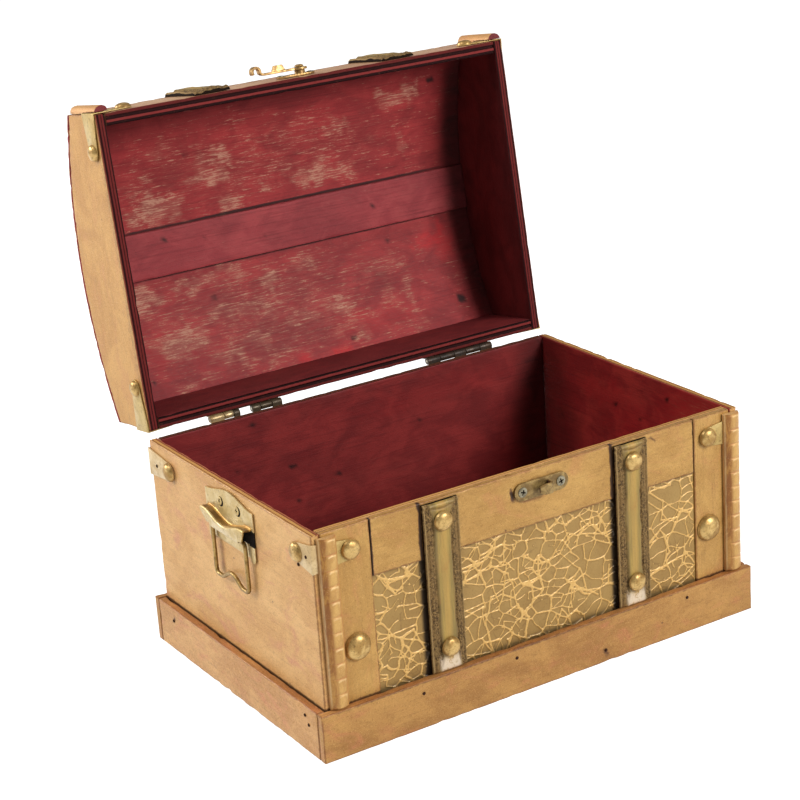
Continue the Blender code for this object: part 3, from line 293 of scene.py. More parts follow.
def strap_leather(name):
    """Gilt strap: smooth olive-gold pad with a painted highlight down its crown and painted shade at its sides, dark
    grainy stitched sides, a painted highlight on the left arris, and a worn foot.
    """
    g = Graph(name)
    channel = g.attribute("channel")
    across = abs(g.part("Y"))
    fine = g.noise(rough=0.75, scale=1.1)
    long = g.noise((0.03, 0.45, 0.3), detail=4, rough=0.6)
    patch = g.noise((0.09, 0.16, 0.16), detail=4, rough=0.65)
    stitch = g.noise((0.5, 0.9, 0.9), detail=2, rough=0.6)
    worn = g.noise((0.2, 0.25, 0.25), detail=4, rough=0.7)
    foot = g.part("X").band(42.0, 35.0) * worn.band(0.36, 0.5) * across.band(8.0, 5.0)
    grain = g.coats(
        g.mix(fine.band(0.36, 0.6), (78, 56, 32), (146, 116, 70)),
        (stitch.band(0.5, 0.6, 0.0, 0.7), (54, 36, 18)),
        (patch.band(0.48, 0.62, 0.0, 0.6), (132, 102, 60)))
    colour = g.coats(
        g.mix(long.band(0.38, 0.62), (138, 117, 66), (172, 142, 74)),
        # A painted highlight down the pad's crown, then painted shade towards its sides
        (across.band(0.6, 3.6, 0.6, 0.0), (186, 148, 78)),
        ((across + long * 2.4).band(4.6, 6.4, 0.0, 0.6), (112, 90, 52)),
        (patch.band(0.5, 0.7, 0.0, 0.35), (170, 120, 62)),
        (fine.band(0.55, 0.8, 0.0, 0.4), (104, 80, 42)),
        (channel, grain),
        # arris: a painted highlight along the strap's edges
        (g.attribute("arris") * 0.8, (176, 146, 96)),
        (foot * 0.8, (232, 212, 186)))
    return g.finish(colour, channel.band(0.0, 1.0, 0.42, 0.8), 0.3, 0.1, (fine, 0.5, 0.3))


def beaded(name):
    """The gold corner moulding: brown on its left side, pinkish on its right, and a painted highlight on each bead's
    arris.
    """
    g = Graph(name)
    rail, arris, groove = (g.attribute(key) for key in ("rail", "arris", "groove"))
    up, across = g.part("X"), g.part("Y")
    speck = g.noise(rough=0.75, scale=1.1)
    blotch = g.noise((0.07, 0.2, 0.2), (0, 0, 0), 4, 0.65, 0.6)
    left = g.coats(
        g.mix(blotch.band(0.4, 0.6), (116, 70, 18), (176, 124, 54)),
        (up.band(74.0, 40.0, 0.0, 0.5), (192, 144, 76)))
    right = g.mix(blotch.band(0.38, 0.6), (196, 126, 82), (200, 152, 86))
    colour = g.coats(
        g.mix(across.band(-0.5, 0.5), left, right),
        (rail, g.mix(blotch.band(0.36, 0.64), (204, 160, 90), (184, 138, 74))),
        (across.band(-0.6, -2.8, 0.0, 0.6) * blotch.band(0.62, 0.44), (150, 92, 40)),
        (groove * blotch.band(0.3, 0.6, 0.2, 0.6), (176, 104, 62)),
        (speck.band(0.46, 0.26, 0.0, 0.5), (130, 82, 40)),
        (speck.band(0.58, 0.8, 0.0, 0.5), (246, 212, 154)),
        (arris * blotch.band(0.3, 0.52, 0.25, 0.85), (242, 208, 150)))
    return g.finish(colour, 0.46, 0.45, 0.2, (speck, 0.4, 0.25))


def brass(name, light, deep, dirt, scale, metallic, rough, black=None):
    """Antique brass: cloudy lacquer, specked and dull; black gives the x, in mm, past which it is blackened."""
    g = Graph(name)
    where = g.get("ShaderNodeTexCoord", "Object")
    cloud = g.noise(where=where, scale=150 * scale, detail=4, rough=0.6, twist=0.5)
    speck = g.noise(where=where, scale=900 * scale, rough=0.7)
    coats = [(speck.band(0.52, 0.72, 0.0, 0.65), dirt)]
    if black is not None:
        past = g.part("X", where).band((black - 1.5) * MM, (black + 1.5) * MM, 0.0, 0.86)
        coats.append((past, (34, 28, 24)))
    colour = g.coats(g.mix(cloud.band(0.36, 0.64), light, deep), *coats)
    return g.finish(colour, cloud.band(0.3, 0.7, *rough), 0.5, metallic, (speck, 0.2, 0.15))


def plain_dark(name, colour):
    """Rust on nail heads, and painted shade in holes, under the handles' lips, around their screws and on the straps'
    dark sides.
    """
    g = Graph(name)
    speck = g.noise(where=g.get("ShaderNodeTexCoord", "Object"), scale=1200, rough=0.7)
    return g.finish(g.mix(speck.band(0.4, 0.7), colour, scaled(colour, 0.55)), 0.8, 0.1)


MATERIALS = {name: make(name, *values) for make, rows in (
    (gold_paint, (
        # One gold paint in lit and shaded copies: the lighter ones, for the walls' and plinth's sides, are painted
        # light, and the darker ones, for the front and back, painted shade
        ("gold_side", (218, 172, 110), (200, 150, 88), (200, 136, 100), 0.75, 1.0),
        ("gold_front", (194, 150, 82), (174, 130, 66), (190, 126, 80), 0.5, 4.0, 0.3),
        ("gold_plinth", (186, 138, 74), (160, 112, 56), (186, 118, 76), 0.75, 8.0, 0.3),
        ("gold_skirt", (214, 166, 106), (190, 138, 80), (204, 134, 94), 0.75, 8.0, 0.3),
        ("gold_ledge", (196, 140, 80), (166, 108, 56), (186, 114, 70), 0.8, 9.0, 0.4),
        ("gold_lid", (200, 150, 80), (182, 130, 62), (190, 130, 78), 0.5, 12.0),
        # gold_pink, on the lid's front and back boards, is pinkish paint with a painted pale sheen
        ("gold_pink", (206, 164, 126), (188, 142, 104), (194, 136, 116), 0.7, 15.0),
        ("gold_trim", (216, 166, 106), (200, 146, 90), (204, 142, 104), 0.5, 17.0),
        ("gold_moulding_edge", (208, 164, 106), (184, 136, 82), (190, 126, 84), 0.6, 19.0),
        ("bare_wood", (170, 128, 86), (146, 104, 66), (130, 84, 60), 0.4, 21.0))),
    (red_stain, (
        ("red_back", (116, 30, 30), (134, 40, 38), (150, 74, 60), -0.16, 0.0, 0.45),
        # red_side, on the walls' inner faces, is the stain made lighter: painted light
        ("red_side", (146, 38, 38), (176, 56, 50), (190, 100, 76), -0.12, 2.0, 0.4),
        ("red_floor", (104, 24, 28), (126, 32, 36), (150, 84, 76), -0.14, 3.0),
        ("red_lid", (142, 40, 42), (164, 52, 52), (192, 140, 116), 0.0, 5.0),
        ("red_lid_end", (86, 24, 24), (106, 32, 32), (150, 86, 76), -0.2, 6.0),
        ("red_batten", (146, 50, 54), (162, 62, 64), (184, 116, 104), -0.1, 7.0),
        ("red_rail", (108, 36, 38), (126, 44, 44), (158, 92, 80), -0.14, 8.0))),
    (ply_edge, (
        ("rim_body", ((0, (206, 158, 96)), (1.1, (116, 68, 36)), (1.7, (190, 140, 80)), (3.6, (116, 58, 38)),
                      (4.4, (166, 100, 66)), (5.1, (104, 40, 34)))),
        ("rim_back", ((0, (120, 76, 44)), (0.9, (66, 36, 26)), (2.4, (98, 50, 38)), (3.6, (48, 22, 18)))),
        ("rim_lid_end", ((0, (140, 70, 56)), (0.7, (46, 13, 13)), (2.1, (106, 36, 34)), (3.4, (44, 11, 12)),
                         (3.9, (112, 38, 36)), (5.0, (38, 9, 10))), 0.16, 0.4),
        ("rim_lid_front", ((0, (96, 32, 30)), (2.0, (38, 10, 10)), (4.4, (128, 46, 44)), (5.9, (34, 8, 9))),
         0.16, 0.4))),
    (brass, (
        ("brass", (204, 170, 106), (158, 122, 64), (78, 54, 26), 1.0, 0.58, (0.32, 0.46)),
        ("brass_aged", (190, 152, 90), (138, 104, 56), (72, 50, 26), 1.4, 0.5, (0.28, 0.5)),
        ("brass_catch", (160, 132, 78), (112, 86, 42), (52, 34, 16), 1.2, 0.4, (0.3, 0.46)),
        # bronze is the painted shade under and beside the catch's ear
        ("bronze", (74, 40, 32), (52, 26, 22), (30, 16, 12), 1.4, 0.3, (0.4, 0.6)),
        ("screw_head", (150, 142, 118), (104, 96, 76), (52, 44, 34), 1.4, 0.6, (0.26, 0.42)),
        # brass_side is the brackets' colour made paler for their side legs and the corner: painted light
        ("brass_side", (214, 188, 140), (196, 166, 116), (140, 108, 62), 0.6, 0.3, (0.36, 0.56)),
        ("brass_face", (196, 168, 104), (176, 146, 82), (112, 84, 42), 0.6, 0.35, (0.34, 0.52)),
        ("brass_plate", (214, 192, 142), (194, 166, 104), (124, 96, 50), 0.5, 0.45, (0.26, 0.42)),
        # brass_lip is the handle's brass with a painted highlight for the crease, and brass_ledge the same with painted
        # shade for the ledge
        ("brass_lip", (212, 164, 82), (176, 126, 54), (112, 76, 30), 0.7, 0.45, (0.3, 0.44)),
        ("brass_ledge", (150, 112, 50), (112, 78, 30), (70, 46, 18), 0.8, 0.3, (0.4, 0.55)),
        ("brass_wire", (180, 148, 84), (138, 106, 50), (80, 56, 26), 1.2, 0.5, (0.28, 0.44)),
        ("hinge_left", (190, 166, 122), (150, 120, 76), (60, 44, 28), 1.0, 0.5, (0.3, 0.5), -91.0),
        ("hinge_dark", (70, 54, 40), (42, 32, 24), (22, 16, 13), 1.0, 0.4, (0.34, 0.55)),
        ("steel", (196, 188, 168), (150, 138, 112), (70, 60, 46), 1.0, 0.7, (0.25, 0.4)))),
    (plain_dark, (
        # strap_edge is the straps' sides, dark leather and painted shade; screw_cut is painted shade; rust is the nail
        # heads' own colour
        ("strap_edge", (30, 16, 5)), ("screw_cut", (34, 28, 24)), ("rust", (70, 44, 34)))),
    (crackle, (("crackle",),)),
    (strap_leather, (("strap_leather",),)),
    (beaded, (("beaded_gold",),)),
) for name, *values in rows}


# Meshes

WOBBLE = 0.16  # how far a board's faces wave, in mm
EDGE_REACH = 1.3  # how far from an arris the wear of edges fades, in mm
RIDGE_STEP = 0.35  # between the cuts through a rim that is cut back in ridges, in mm


def unit(values):
    return np.clip(values, 0, 1)


def bell(distance, width):
    """1 where distance is 0, falling to 0 over a few widths."""
    return np.exp(-(distance / width) ** 2)


def ease(t):
    """A smooth step from 0 to 1 for t between them."""
    return t * t * (3 - 2 * t)


def frame_of(body):
    return LID_FRAME if body in ("lid", "latch") else BODY_FRAME


def mesh_object(name, mesh, materials, body, node=None):
    """A piece with materials by name, in the place of a CAD node if one is given."""
    piece = bpy.data.objects.new(name, mesh)
    bpy.context.scene.collection.objects.link(piece)
    for material in materials.split():
        mesh.materials.append(MATERIALS[material])
    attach(piece, body)
    if node:
        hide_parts(node)
    return piece


def shade(mesh, angle):
    mesh.polygons.foreach_set("use_smooth", np.ones(len(mesh.polygons), bool))
    mesh.set_sharp_from_angle(angle=math.radians(angle))


def write(mesh, name, values):
    """A number for each point of a mesh, or a vector where values has rows of three."""
    values = np.asarray(values, np.float32)
    kind, key = ("FLOAT", "value") if values.ndim == 1 else ("FLOAT_VECTOR", "vector")
    mesh.attributes.new(name, kind, "POINT").data.foreach_set(key, values.ravel())


def edge_nearness(points, segments):
    """How near each point is to the nearest sharp edge: 1 on it, and fading away from it."""
    nearest = np.full(len(points), 1e9)
    for a, b in segments:
        along = b - a
        share = unit(((points - a) @ along) / max(along @ along, 1e-9))
        nearest = np.minimum(nearest, np.linalg.norm(points - (a + share[:, None] * along), axis=1))
    return np.exp(-nearest / EDGE_REACH)


def cut_places(low, high, cell, near):
    """Where planes cut a board along one axis: close to both ends, then every cell."""
    span, inset = high - low, max(near)
    places = [place for d in near if d < span / 2 for place in (low + d, high - d)]
    if span > 4 * inset:
        places += list(np.linspace(low + inset, high - inset, max(1, round((span - 2 * inset) / cell)) + 1))
    return sorted(set(round(p, 3) for p in places))


def clean_solid(node, to_frame):
    """The node's mesh as a welded solid in its working frame, in millimetres."""
    solid = bmesh.new()
    solid.from_mesh(nodes[node].data)
    bmesh.ops.transform(solid, matrix=to_frame, verts=solid.verts)
    bmesh.ops.remove_doubles(solid, verts=solid.verts, dist=0.004)
    bmesh.ops.dissolve_limit(solid, angle_limit=math.radians(0.6), verts=solid.verts, edges=solid.edges)
    return solid


def sharp_edges(solid, angle):
    return [e for e in solid.edges if e.is_manifold and e.calc_face_angle(0) > math.radians(angle)]


def roll_edges(solid, edges, width, segments=2):
    bmesh.ops.bevel(solid, geom=edges, offset=width, segments=segments, profile=0.5, affect="EDGES",
                    clamp_overlap=True)


def slice_solid(solid, axis, places):
    """Cuts a solid's faces along planes across one axis."""
    normal = [float(axis == k) for k in range(3)]
    for place in places:
        geometry = solid.verts[:] + solid.edges[:] + solid.faces[:]
        bmesh.ops.bisect_plane(solid, geom=geometry, dist=0.002, plane_co=[place * n for n in normal], plane_no=normal)


def worn_copy(name, node, body, order, paint, materials, cell=6.0, soft=0.7, chip=0.5, outer=0.0, ridges=None,
              marks=None, grime=None, extra=None, near=(1.6, 3.4)):
    """Replaces a board by a worn one: soft arrises, uneven faces, nicked edges, and paint chosen by face.

    order gives the axes of the grain frame: along the grain, across it, and through the board from outer.
    ridges(depth) is how far the rim is cut back, and marks are the stains and rubs of mark_field by name.
    """
    marks, extra = marks or {}, extra or {}
    place = frame_of(body)
    solid = clean_solid(node, place.inverted())
    sharp = sharp_edges(solid, 28)
    segments = [[np.array(v.co) for v in e.verts] for e in sharp]
    roll_edges(solid, [e for e in sharp if e.calc_length() > 3.0], soft)
    points = np.array([v.co for v in solid.verts])
    low, high = points.min(0), points.max(0)
    for axis in range(3):
        slice_solid(solid, axis, cut_places(low[axis], high[axis], cell, near))
        slice_solid(solid, axis, extra.get(axis, ()))
    if ridges:
        slice_solid(solid, order[2], np.arange(low[order[2]] + RIDGE_STEP, high[order[2]] - 0.2, RIDGE_STEP))
    solid.normal_update()
    flat = np.array([v.co for v in solid.verts])
    edge = edge_nearness(flat, segments)
    grained = np.stack([flat[:, order[0]], flat[:, order[1]], np.abs(flat[:, order[2]] - outer)], -1)
    fields = {key: mark_field(grained, marks.get(key, ())) for key in ("worn", "dark", "bright")}
    if "on" in marks:
        faced = np.array([float(paint(v.co, v.normal) == marks["on"]) for v in solid.verts])
        fields = {key: values * faced for key, values in fields.items()}
    if grime:
        fields["dark"] = np.maximum(fields["dark"], grime(flat))
    for vertex, nearness, depth in zip(solid.verts, edge, grained[:, 2]):
        back = sunk(vertex.co, nearness, chip)
        if ridges and abs(vertex.normal[2]) > 0.8:
            back += ridges(depth)
        vertex.co -= vertex.normal * back
    for face in solid.faces:
        face.material_index = paint(face.calc_center_median(), face.normal)
    mesh = bpy.data.meshes.new(name)
    solid.transform(place)
    solid.to_mesh(mesh)
    solid.free()
    shade(mesh, 38)
    write(mesh, "place", grained)
    for key, values in {"edge": edge, **fields}.items():
        write(mesh, key, values)
    return mesh_object(name, mesh, materials, body, node)


def mark_field(points, marks):
    """The strongest of some marks at each point: (a, b, reach a, reach b, strength), and 0 after them for a calm one.

    A ragged mark's side towards larger a ends sharply, and its other side fades, as where a rub stops at a ridge.
    """
    field = np.zeros(len(points))
    if not marks:
        return field
    warp, close = (np.array([tuple(noise.noise_vector(Vector(p) * pitch)) for p in points]) for pitch in (0.11, 0.31))
    for a, b, reach_a, reach_b, strength, *calm in marks:
        sway = 0.0 if calm else min(1.0, min(reach_a, reach_b) / 5.0) ** 2
        along = points[:, 0] - a + sway * (warp[:, 0] * 11 + close[:, 0] * 6)
        across = points[:, 1] - b + sway * (warp[:, 1] * 6 + close[:, 1] * 4)
        reach = reach_a * (1 - sway * np.where(along > 0, 0.22, -0.15))
        far = np.hypot(along / reach, across / reach_b)
        near = unit(1.5 - far - 0.35 * sway * close[:, 2])
        field = np.maximum(field, strength * near * near * (3 - 2 * near))
    return field


def sunk(point, nearness, chip):
    """How far a worn board's surface lies inside the new one, in mm."""
    wave = noise.noise(Vector(point) * 0.035) * 0.6 + noise.noise(Vector(point) * 0.11) * 0.4
    nick = max(0.0, noise.noise(Vector(point) * 0.23 + Vector((9, 2, 5))) - 0.12) * 2.2
    return WOBBLE * (0.5 + 0.5 * wave) + chip * nick * nearness


def built(name, body, points, faces, materials, angle, node=None, tones=None):
    """A piece from points in its working frame, in mm, and faces, which it turns outwards; tones are by face."""
    mesh = bpy.data.meshes.new(name)
    place = frame_of(body)
    mesh.from_pydata([place @ Vector(p) for p in points], [], faces)
    if tones is not None:
        mesh.polygons.foreach_set("material_index", tones)
    solid = bmesh.new()
    solid.from_mesh(mesh)
    bmesh.ops.recalc_face_normals(solid, faces=solid.faces)
    solid.to_mesh(mesh)
    solid.free()
    shade(mesh, angle)
    return mesh_object(name, mesh, materials, body, node)


def relief(name, body, node, us, vs, heights, to_place, materials, fields, smooth, closed_back=False):
    """A closed piece with a modelled face: a grid of heights over us and vs, sides, and a back of one face or many.

    to_place(u, v, h) gives the place in the working frame, in millimetres; it takes and gives arrays. The sides
    take the second material where there is one. fields are numbers over the grid, written for the materials.
    """
    grid_u, grid_v = (grid.ravel() for grid in np.meshgrid(us, vs, indexing="ij"))
    index = np.arange(grid_u.size).reshape(len(us), len(vs))
    quads = np.stack([index[:-1, :-1], index[1:, :-1], index[1:, 1:], index[:-1, 1:]], -1).reshape(-1, 4)
    rim = np.concatenate([index[:, 0], index[-1, 1:], index[-2::-1, -1], index[0, -2:0:-1]])
    feet = index.size + np.arange(len(rim))
    sides = np.stack([feet, np.roll(feet, -1), np.roll(rim, -1), rim], -1)
    inner, backs = np.zeros(0, int), [feet]
    if closed_back:
        inner = np.setdiff1d(index, rim)
        table = np.full(index.size, -1)
        table[rim] = feet
        table[inner] = feet[-1] + 1 + np.arange(len(inner))
        backs = table[quads][:, ::-1]
    order = np.concatenate([index.ravel(), rim, inner])
    grid_u, grid_v = grid_u[order], grid_v[order]
    depth = np.concatenate([heights.ravel(), np.zeros(len(rim) + len(inner))])
    faces = [tuple(face) for part in (quads, sides, backs) for face in part]
    tones = np.zeros(len(faces), np.int32)
    tones[len(quads):len(quads) + len(sides)] = " " in materials
    piece = built(name, body, np.stack(to_place(grid_u, grid_v, depth), -1), faces, materials, smooth, node, tones)
    for key, values in fields.items():
        write(piece.data, key, values.ravel()[order])
    write(piece.data, "place", np.stack([grid_v, grid_u, depth], -1))
    return piece


def turned(name, body, centre, axis, profile, material, node=None, steps=40, dent=0.0):
    """A turned piece: profile is (radius, height) pairs along axis from centre, in the working frame."""
    axis = Vector(axis).normalized()
    side = axis.orthogonal().normalized()
    other = axis.cross(side)
    points, rings = [], []
    for radius, height in profile:
        count = steps if radius > 0 else 1
        rings.append([len(points) + k % count for k in range(steps + 1)])
        for k in range(count):
            turn = 2 * math.pi * k / steps
            point = Vector(centre) + axis * height + (side * math.cos(turn) + other * math.sin(turn)) * radius
            if dent:
                point -= axis * dent * max(0.0, noise.noise(point * 0.45)) * min(1.0, height / 2)
            points.append(point)
    faces = [tuple(dict.fromkeys((here[k], here[k + 1], there[k + 1], there[k])))
             for here, there in zip(rings, rings[1:]) for k in range(steps)]
    piece = built(name, body, points, faces, material, 50, node)
    write(piece.data, "place", [tuple(p) for p in points])


# Boards of the body

def by_axis(axis, low, high, other, edge=None):
    """Chooses a face's material: low or high side of one axis, the top edge, or the rest."""
    def paint(centre, normal):
        if abs(normal[axis]) > 0.6:
            return high if normal[axis] > 0 else low
        return edge if edge is not None and normal[2] > 0.6 else other
    return paint


def one_paint(centre, normal):
    return 0


def plinth_paint(centre, normal):
    return 1 if normal[2] > 0.6 else 0


MARK_SEED = 7  # sets the ragged outlines that mark_field gives, which would differ in each run without it
noise.seed_set(MARK_SEED)

# Marks, as mark_field takes them, measured in the photograph: stains and rubs, and where said below, painted shade and
# painted light
# On the back wall's inside, the wide dark mark at the right corner is painted shade, and the one along the bottom makes
# it darker there; the small dark marks are stains
BACK_MARKS = {
    "on": 1,
    "dark": ((-81, 129, 3, 2, .9), (-55, 94, 3.2, 1.6, .9), (-22, 80, 3, 1.6, .8), (-93, 100, 2, 1.4, .8),
             (-52, 69, 2.4, 1.4, .7), (-73, 116, 1.8, 1.2, .7), (43, 100, 2.2, 1.6, .7), (146, 66, 30, 120, .62, 0),
             (-10, 20, 200, 24, .3, 0)),
    "worn": ((-70, 60, 60, 14, .35), (20, 70, 60, 16, .3)),
    "bright": ((60, 118, 60, 8, .12),)}
# On the right wall's inside, the worn mark and the widest bright mark towards the front are painted light, the wide
# dark mark towards the back corner is painted shade, and the one along the bottom makes it darker there; the small
# marks are stains
RIGHT_MARKS = {
    "on": 1,
    "worn": ((-80, 100, 40, 40, 1.2, 0),),
    "dark": ((15, 107, 3, 2, .9), (-37, 124, 3, 2.4, .9), (41, 123, 2.4, 2, .8), (-11, 103, 2.6, 2, .6),
             (96, 70, 40, 120, .55, 0), (20, 10, 120, 30, .4, 0)),
    "bright": ((-10, 90, 40, 20, .45), (30, 112, 30, 9, .35), (-74, 104, 44, 34, .8, 0))}
# On the rail, the dark marks beside each strap's left edge, more faintly beside its right edge, and around and under
# the catch plate are painted shadows; the others are stains, the joints at the stiles and darker bands along the top
# and bottom edges
RAIL_MARKS = {
    "dark": ((86.9, 129.5, 2.2, 1.2, .8), (83.2, 132.4, 2.6, 1.2, .8), (-99.2, 106.4, 2.4, 1.0, .6),
             (48.5, 111.5, 1.4, 4.5, .5), (-40, 133, 60, 1.6, .35), (2.5, 122.4, 19.6, 5.6, .5),
             (-17.5, 122.6, 1.7, 4.4, 1.0), (-4.0, 117.2, 12, 1.1, .85), (4, 129.0, 14, .6, .5),
             (-80.2, 117, 1.6, 40, 1.0), (54.3, 117, 1.6, 40, 1.0), (-54.6, 117, 0.8, 40, .5),
             (79.8, 117, 0.8, 40, .5), (-112.5, 117, 0.8, 40, 1.0), (116.1, 117, 0.7, 40, .9),
             (2, 102, 110, 1.0, .3))}
RAIL_CUTS = {0: (-112.2, -111.7, -111.1, -83.2, -82.4, -81.6, -80.8, -80.0, -20.0, -19.2, -18.4, -17.6, -16.8, 51.4,
                 52.2, 53.0, 53.8, 54.6, 114.9, 115.4, 115.8)}
PLINTH_MARKS = {
    "front": {"dark": ((-20, 28.6, 160, 1.0, .6), (-88.5, 22.2, 1.6, 1.6, .8), (-23.6, 23.6, 1.8, 1.6, .9),
                       (40.9, 8, 1.8, 1.8, .9), (104, 24, 1.8, 1.8, .9), (60, 3, 40, 2, .3))},
    "left": {"dark": ((78.9, 21.1, 1.8, 1.8, .9), (-84.8, 23.4, 1.8, 1.8, .9), (-88.5, 18.6, 1.4, 1.4, .8),
                      (-96, 15, 1.6, 30, .35), (0, 1, 120, 2.2, .35))}}


def foot_darkening(reach, strength):
    """Darkens an outer face towards the plinth, fading over reach mm above its top."""
    def grime(points):
        outside = (np.abs(points[:, 0]) > WALL_X - 1.6) | (np.abs(points[:, 1]) > WALL_Y - 1.6)
        return outside * strength * unit(1 - (points[:, 2] - PLINTH_TOP) / reach) ** 1.5
    return grime


def body_ridges(depth):
    """The ply's softer layers, worn a little lower than its glue lines and faces."""
    return 0.28 * (math.exp(-((depth - 1.35) / 0.35) ** 2) + math.exp(-((depth - 4.0) / 0.5) ** 2))


def make_body_boards():
    foot_cuts = {2: (PLINTH_TOP + 0.2, PLINTH_TOP + 1.3, PLINTH_TOP + 2.8)}
    wall = {"ridges": body_ridges, "grime": foot_darkening(2.6, 0.95), "extra": foot_cuts}
    worn_copy("worn_left_wall", "left_wall", "box", (1, 2, 0), by_axis(0, 0, 1, 0, 2), "gold_side red_side rim_body",
              outer=-WALL_X, cell=4.5, **wall)
    worn_copy("worn_right_wall", "right_wall", "box", (1, 2, 0), by_axis(0, 1, 0, 0, 2),
              "gold_side red_side rim_body", outer=WALL_X, marks=RIGHT_MARKS, cell=3.5, **wall)
    worn_copy("worn_front_wall", "front_wall", "box", (0, 2, 1), by_axis(1, 0, 1, 0, 2),
              "gold_front red_back rim_body", outer=FRONT_WALL_Y)
    worn_copy("worn_back_wall", "back_wall", "box", (0, 2, 1), by_axis(1, 1, 0, 0, 2),
              "gold_front red_back rim_back", outer=WALL_Y, marks=BACK_MARKS, cell=3.5, **wall)
    panel = worn_copy("worn_floor", "floor_panel", "box", (0, 1, 2), by_axis(2, 0, 1, 0), "bare_wood red_floor",
                      cell=12.0)
    # Its edges run a little into the walls, so that no light passes
    panel.data.transform(Matrix.Diagonal((1.006, 1.01, 1, 1)))
    for side, order, paint in (("front", (0, 2, 1), "gold_plinth"), ("back", (0, 2, 1), "gold_plinth"),
                               ("left", (1, 2, 0), "gold_skirt"), ("right", (1, 2, 0), "gold_skirt")):
        worn_copy("worn_plinth_" + side, "plinth_" + side, "box", order, plinth_paint, paint + " gold_ledge",
                  soft=0.8, chip=0.9, marks=PLINTH_MARKS.get(side), cell=4.5, near=(1.2, 2.4))
    for hand, *_ in HANDS:
        worn_copy("worn_stile_" + hand, "stile_" + hand, "box", (2, 0, 1), one_paint, "gold_front",
                  grime=foot_darkening(2.2, 0.9), extra=foot_cuts)
    worn_copy("worn_rail", "front_rail", "box", (0, 2, 1), one_paint, "gold_front", soft=0.5, marks=RAIL_MARKS,
              cell=2.6, extra=RAIL_CUTS)


# Boards of the lid

# On the lid's lining, the wide calm dark marks at the two ends are painted shade, and the two thin dark lines along the
# batten's edges, where SKIN_CUTS adds cuts, are painted shadows; the other marks are stains, rubs and knots
SKIN_MARKS = {
    "on": 1,
    "worn": ((-42, -57, 8, 7, 1), (-48, -41, 13, 9, 1), (-40, -21, 9, 7, .9), (-88.5, -26, 20, 11, 1),
             (-85, -64, 12, 6, .55), (-58, -50, 9, 6, .6), (-101, -42, 10, 6, .6), (-10.7, -27.8, 7, 4, .8),
             (25, -30, 14, 8, .95), (48, -57, 12, 6, .7), (50, -27, 13, 6, .75), (87, -68, 13, 6, .8),
             (102, -70, 8, 9, .9), (97, -32, 12, 7, .7), (-107, 29, 14, 9, 1), (-79, 26, 6, 8, .8),
             (-59, 22, 10, 6, .8), (-42, 24, 8, 6, .8), (-21, 35, 6, 12, .9), (-36, 48, 9, 6, .8),
             (-23, 55, 6, 8, .8), (-57, 45, 10, 7, .9), (-89, 60, 24, 9, 1), (-56, 73, 12, 5, .8),
             (-35, 70, 10, 5, .8), (-94, 88, 12, 3, .6), (-77, 86, 10, 3, .6), (-28, 84, 9, 5, .7), (9, 30, 10, 6, .7),
             (1, 62, 11, 8, .8), (32, 62, 13, 7, .9), (69, 64, 7, 12, .6), (85, 63, 6, 14, .7), (84, 85, 10, 6, .4),
             (64, 84, 9, 5, .4), (69, 44, 24, 8, .5), (122, 60, 7, 9, .3), (23, 77, 7, 4, .8), (33, 74, 8, 4, .8),
             (40, 84, 4, 7, .8), (0, -45, 120, 26, .34), (-20, 55, 100, 34, .42)),
    "dark": ((120, -76, 2.5, 2.5, 1), (-112, -71, 3, 1.4, .9), (-68, -59, 3, 1.8, .7), (-117, 81, 3, 2, .8),
             (122, 76, 3, 3, .9), (-62, 37, 3, 2, .7), (75, 27, 3, 2, .7), (143, 0, 18, 130, .75, 0),
             (32, 84, 3, 2, .7), (0, -15.0, 150, 1.1, .95), (0, 16.4, 150, .9, .75), (-138, 0, 7, 130, .35, 0)),
    "bright": ((112, 31, 12, 6, .8), (122, 40, 6, 9, .5), (-8, 88.7, 4, 3, 1), (20, 90, 9, 4, .9),
               (60, 76, 40, 10, .25), (-110, 60, 10, 20, .25))}
SKIN_CUTS = {1: (-17.4, -16.4, -15.5, -14.7, 15.9, 16.6, 17.4)}
# On the batten, the wide calm dark marks at its ends are painted shade; the small ones are stains
BATTEN_MARKS = {
    "dark": ((-91, -7, 2.6, 1.6, .8), (-62, -2, 2, 1.4, .7), (-18, 6, 2.4, 1.4, .7), (67, 0, 2.4, 1.6, .8),
             (8, 8, 2, 1.4, .6), (143, 0, 18, 40, .7, 0), (-139, 0, 8, 30, .45, 0)),
    "worn": ((60, -8, 60, 5, .3), (-40, 8, 60, 4, .25))}
LID_END_MARKS = {"dark": ((0, 138, 200, 6, .45),)}


def lid_edge_paint(axis, low, high):
    """As by_axis, with the rim, which faces down when the lid is closed, as material 2."""
    def paint(centre, normal):
        if normal[2] < -0.6:
            return 2
        if abs(normal[axis]) > 0.5:
            return high if normal[axis] > 0 else low
        return 0
    return paint


def skin_paint(centre, normal):
    """0 on the outside of the bent sheet, whose faces look away from the lid's middle, and 1 inside."""
    middle_y, middle_z = (LID_FRONT_Y + LID_BACK_Y) / 2, HINGE_Z + 10
    return 0 if normal.dot(Vector((0, centre[1] - middle_y, centre[2] - middle_z))) > 0 else 1


def lid_end_ridges(depth):
    """A raised thin line between worn layers on the lid ends' rims."""
    return 0.42 * (math.exp(-((depth - 1.35) / 0.5) ** 2) + math.exp(-((depth - 3.65) / 0.35) ** 2)) \
        + (0.3 if depth > 5.0 else 0.0)


def lid_front_ridges(depth):
    """The front board's rim: an outer layer, a worn groove, a sharp inner ridge, and a rounded inside."""
    return 0.7 * math.exp(-((depth - 3.2) / 0.85) ** 4) + (0.7 if depth > 6.0 else 0.0)


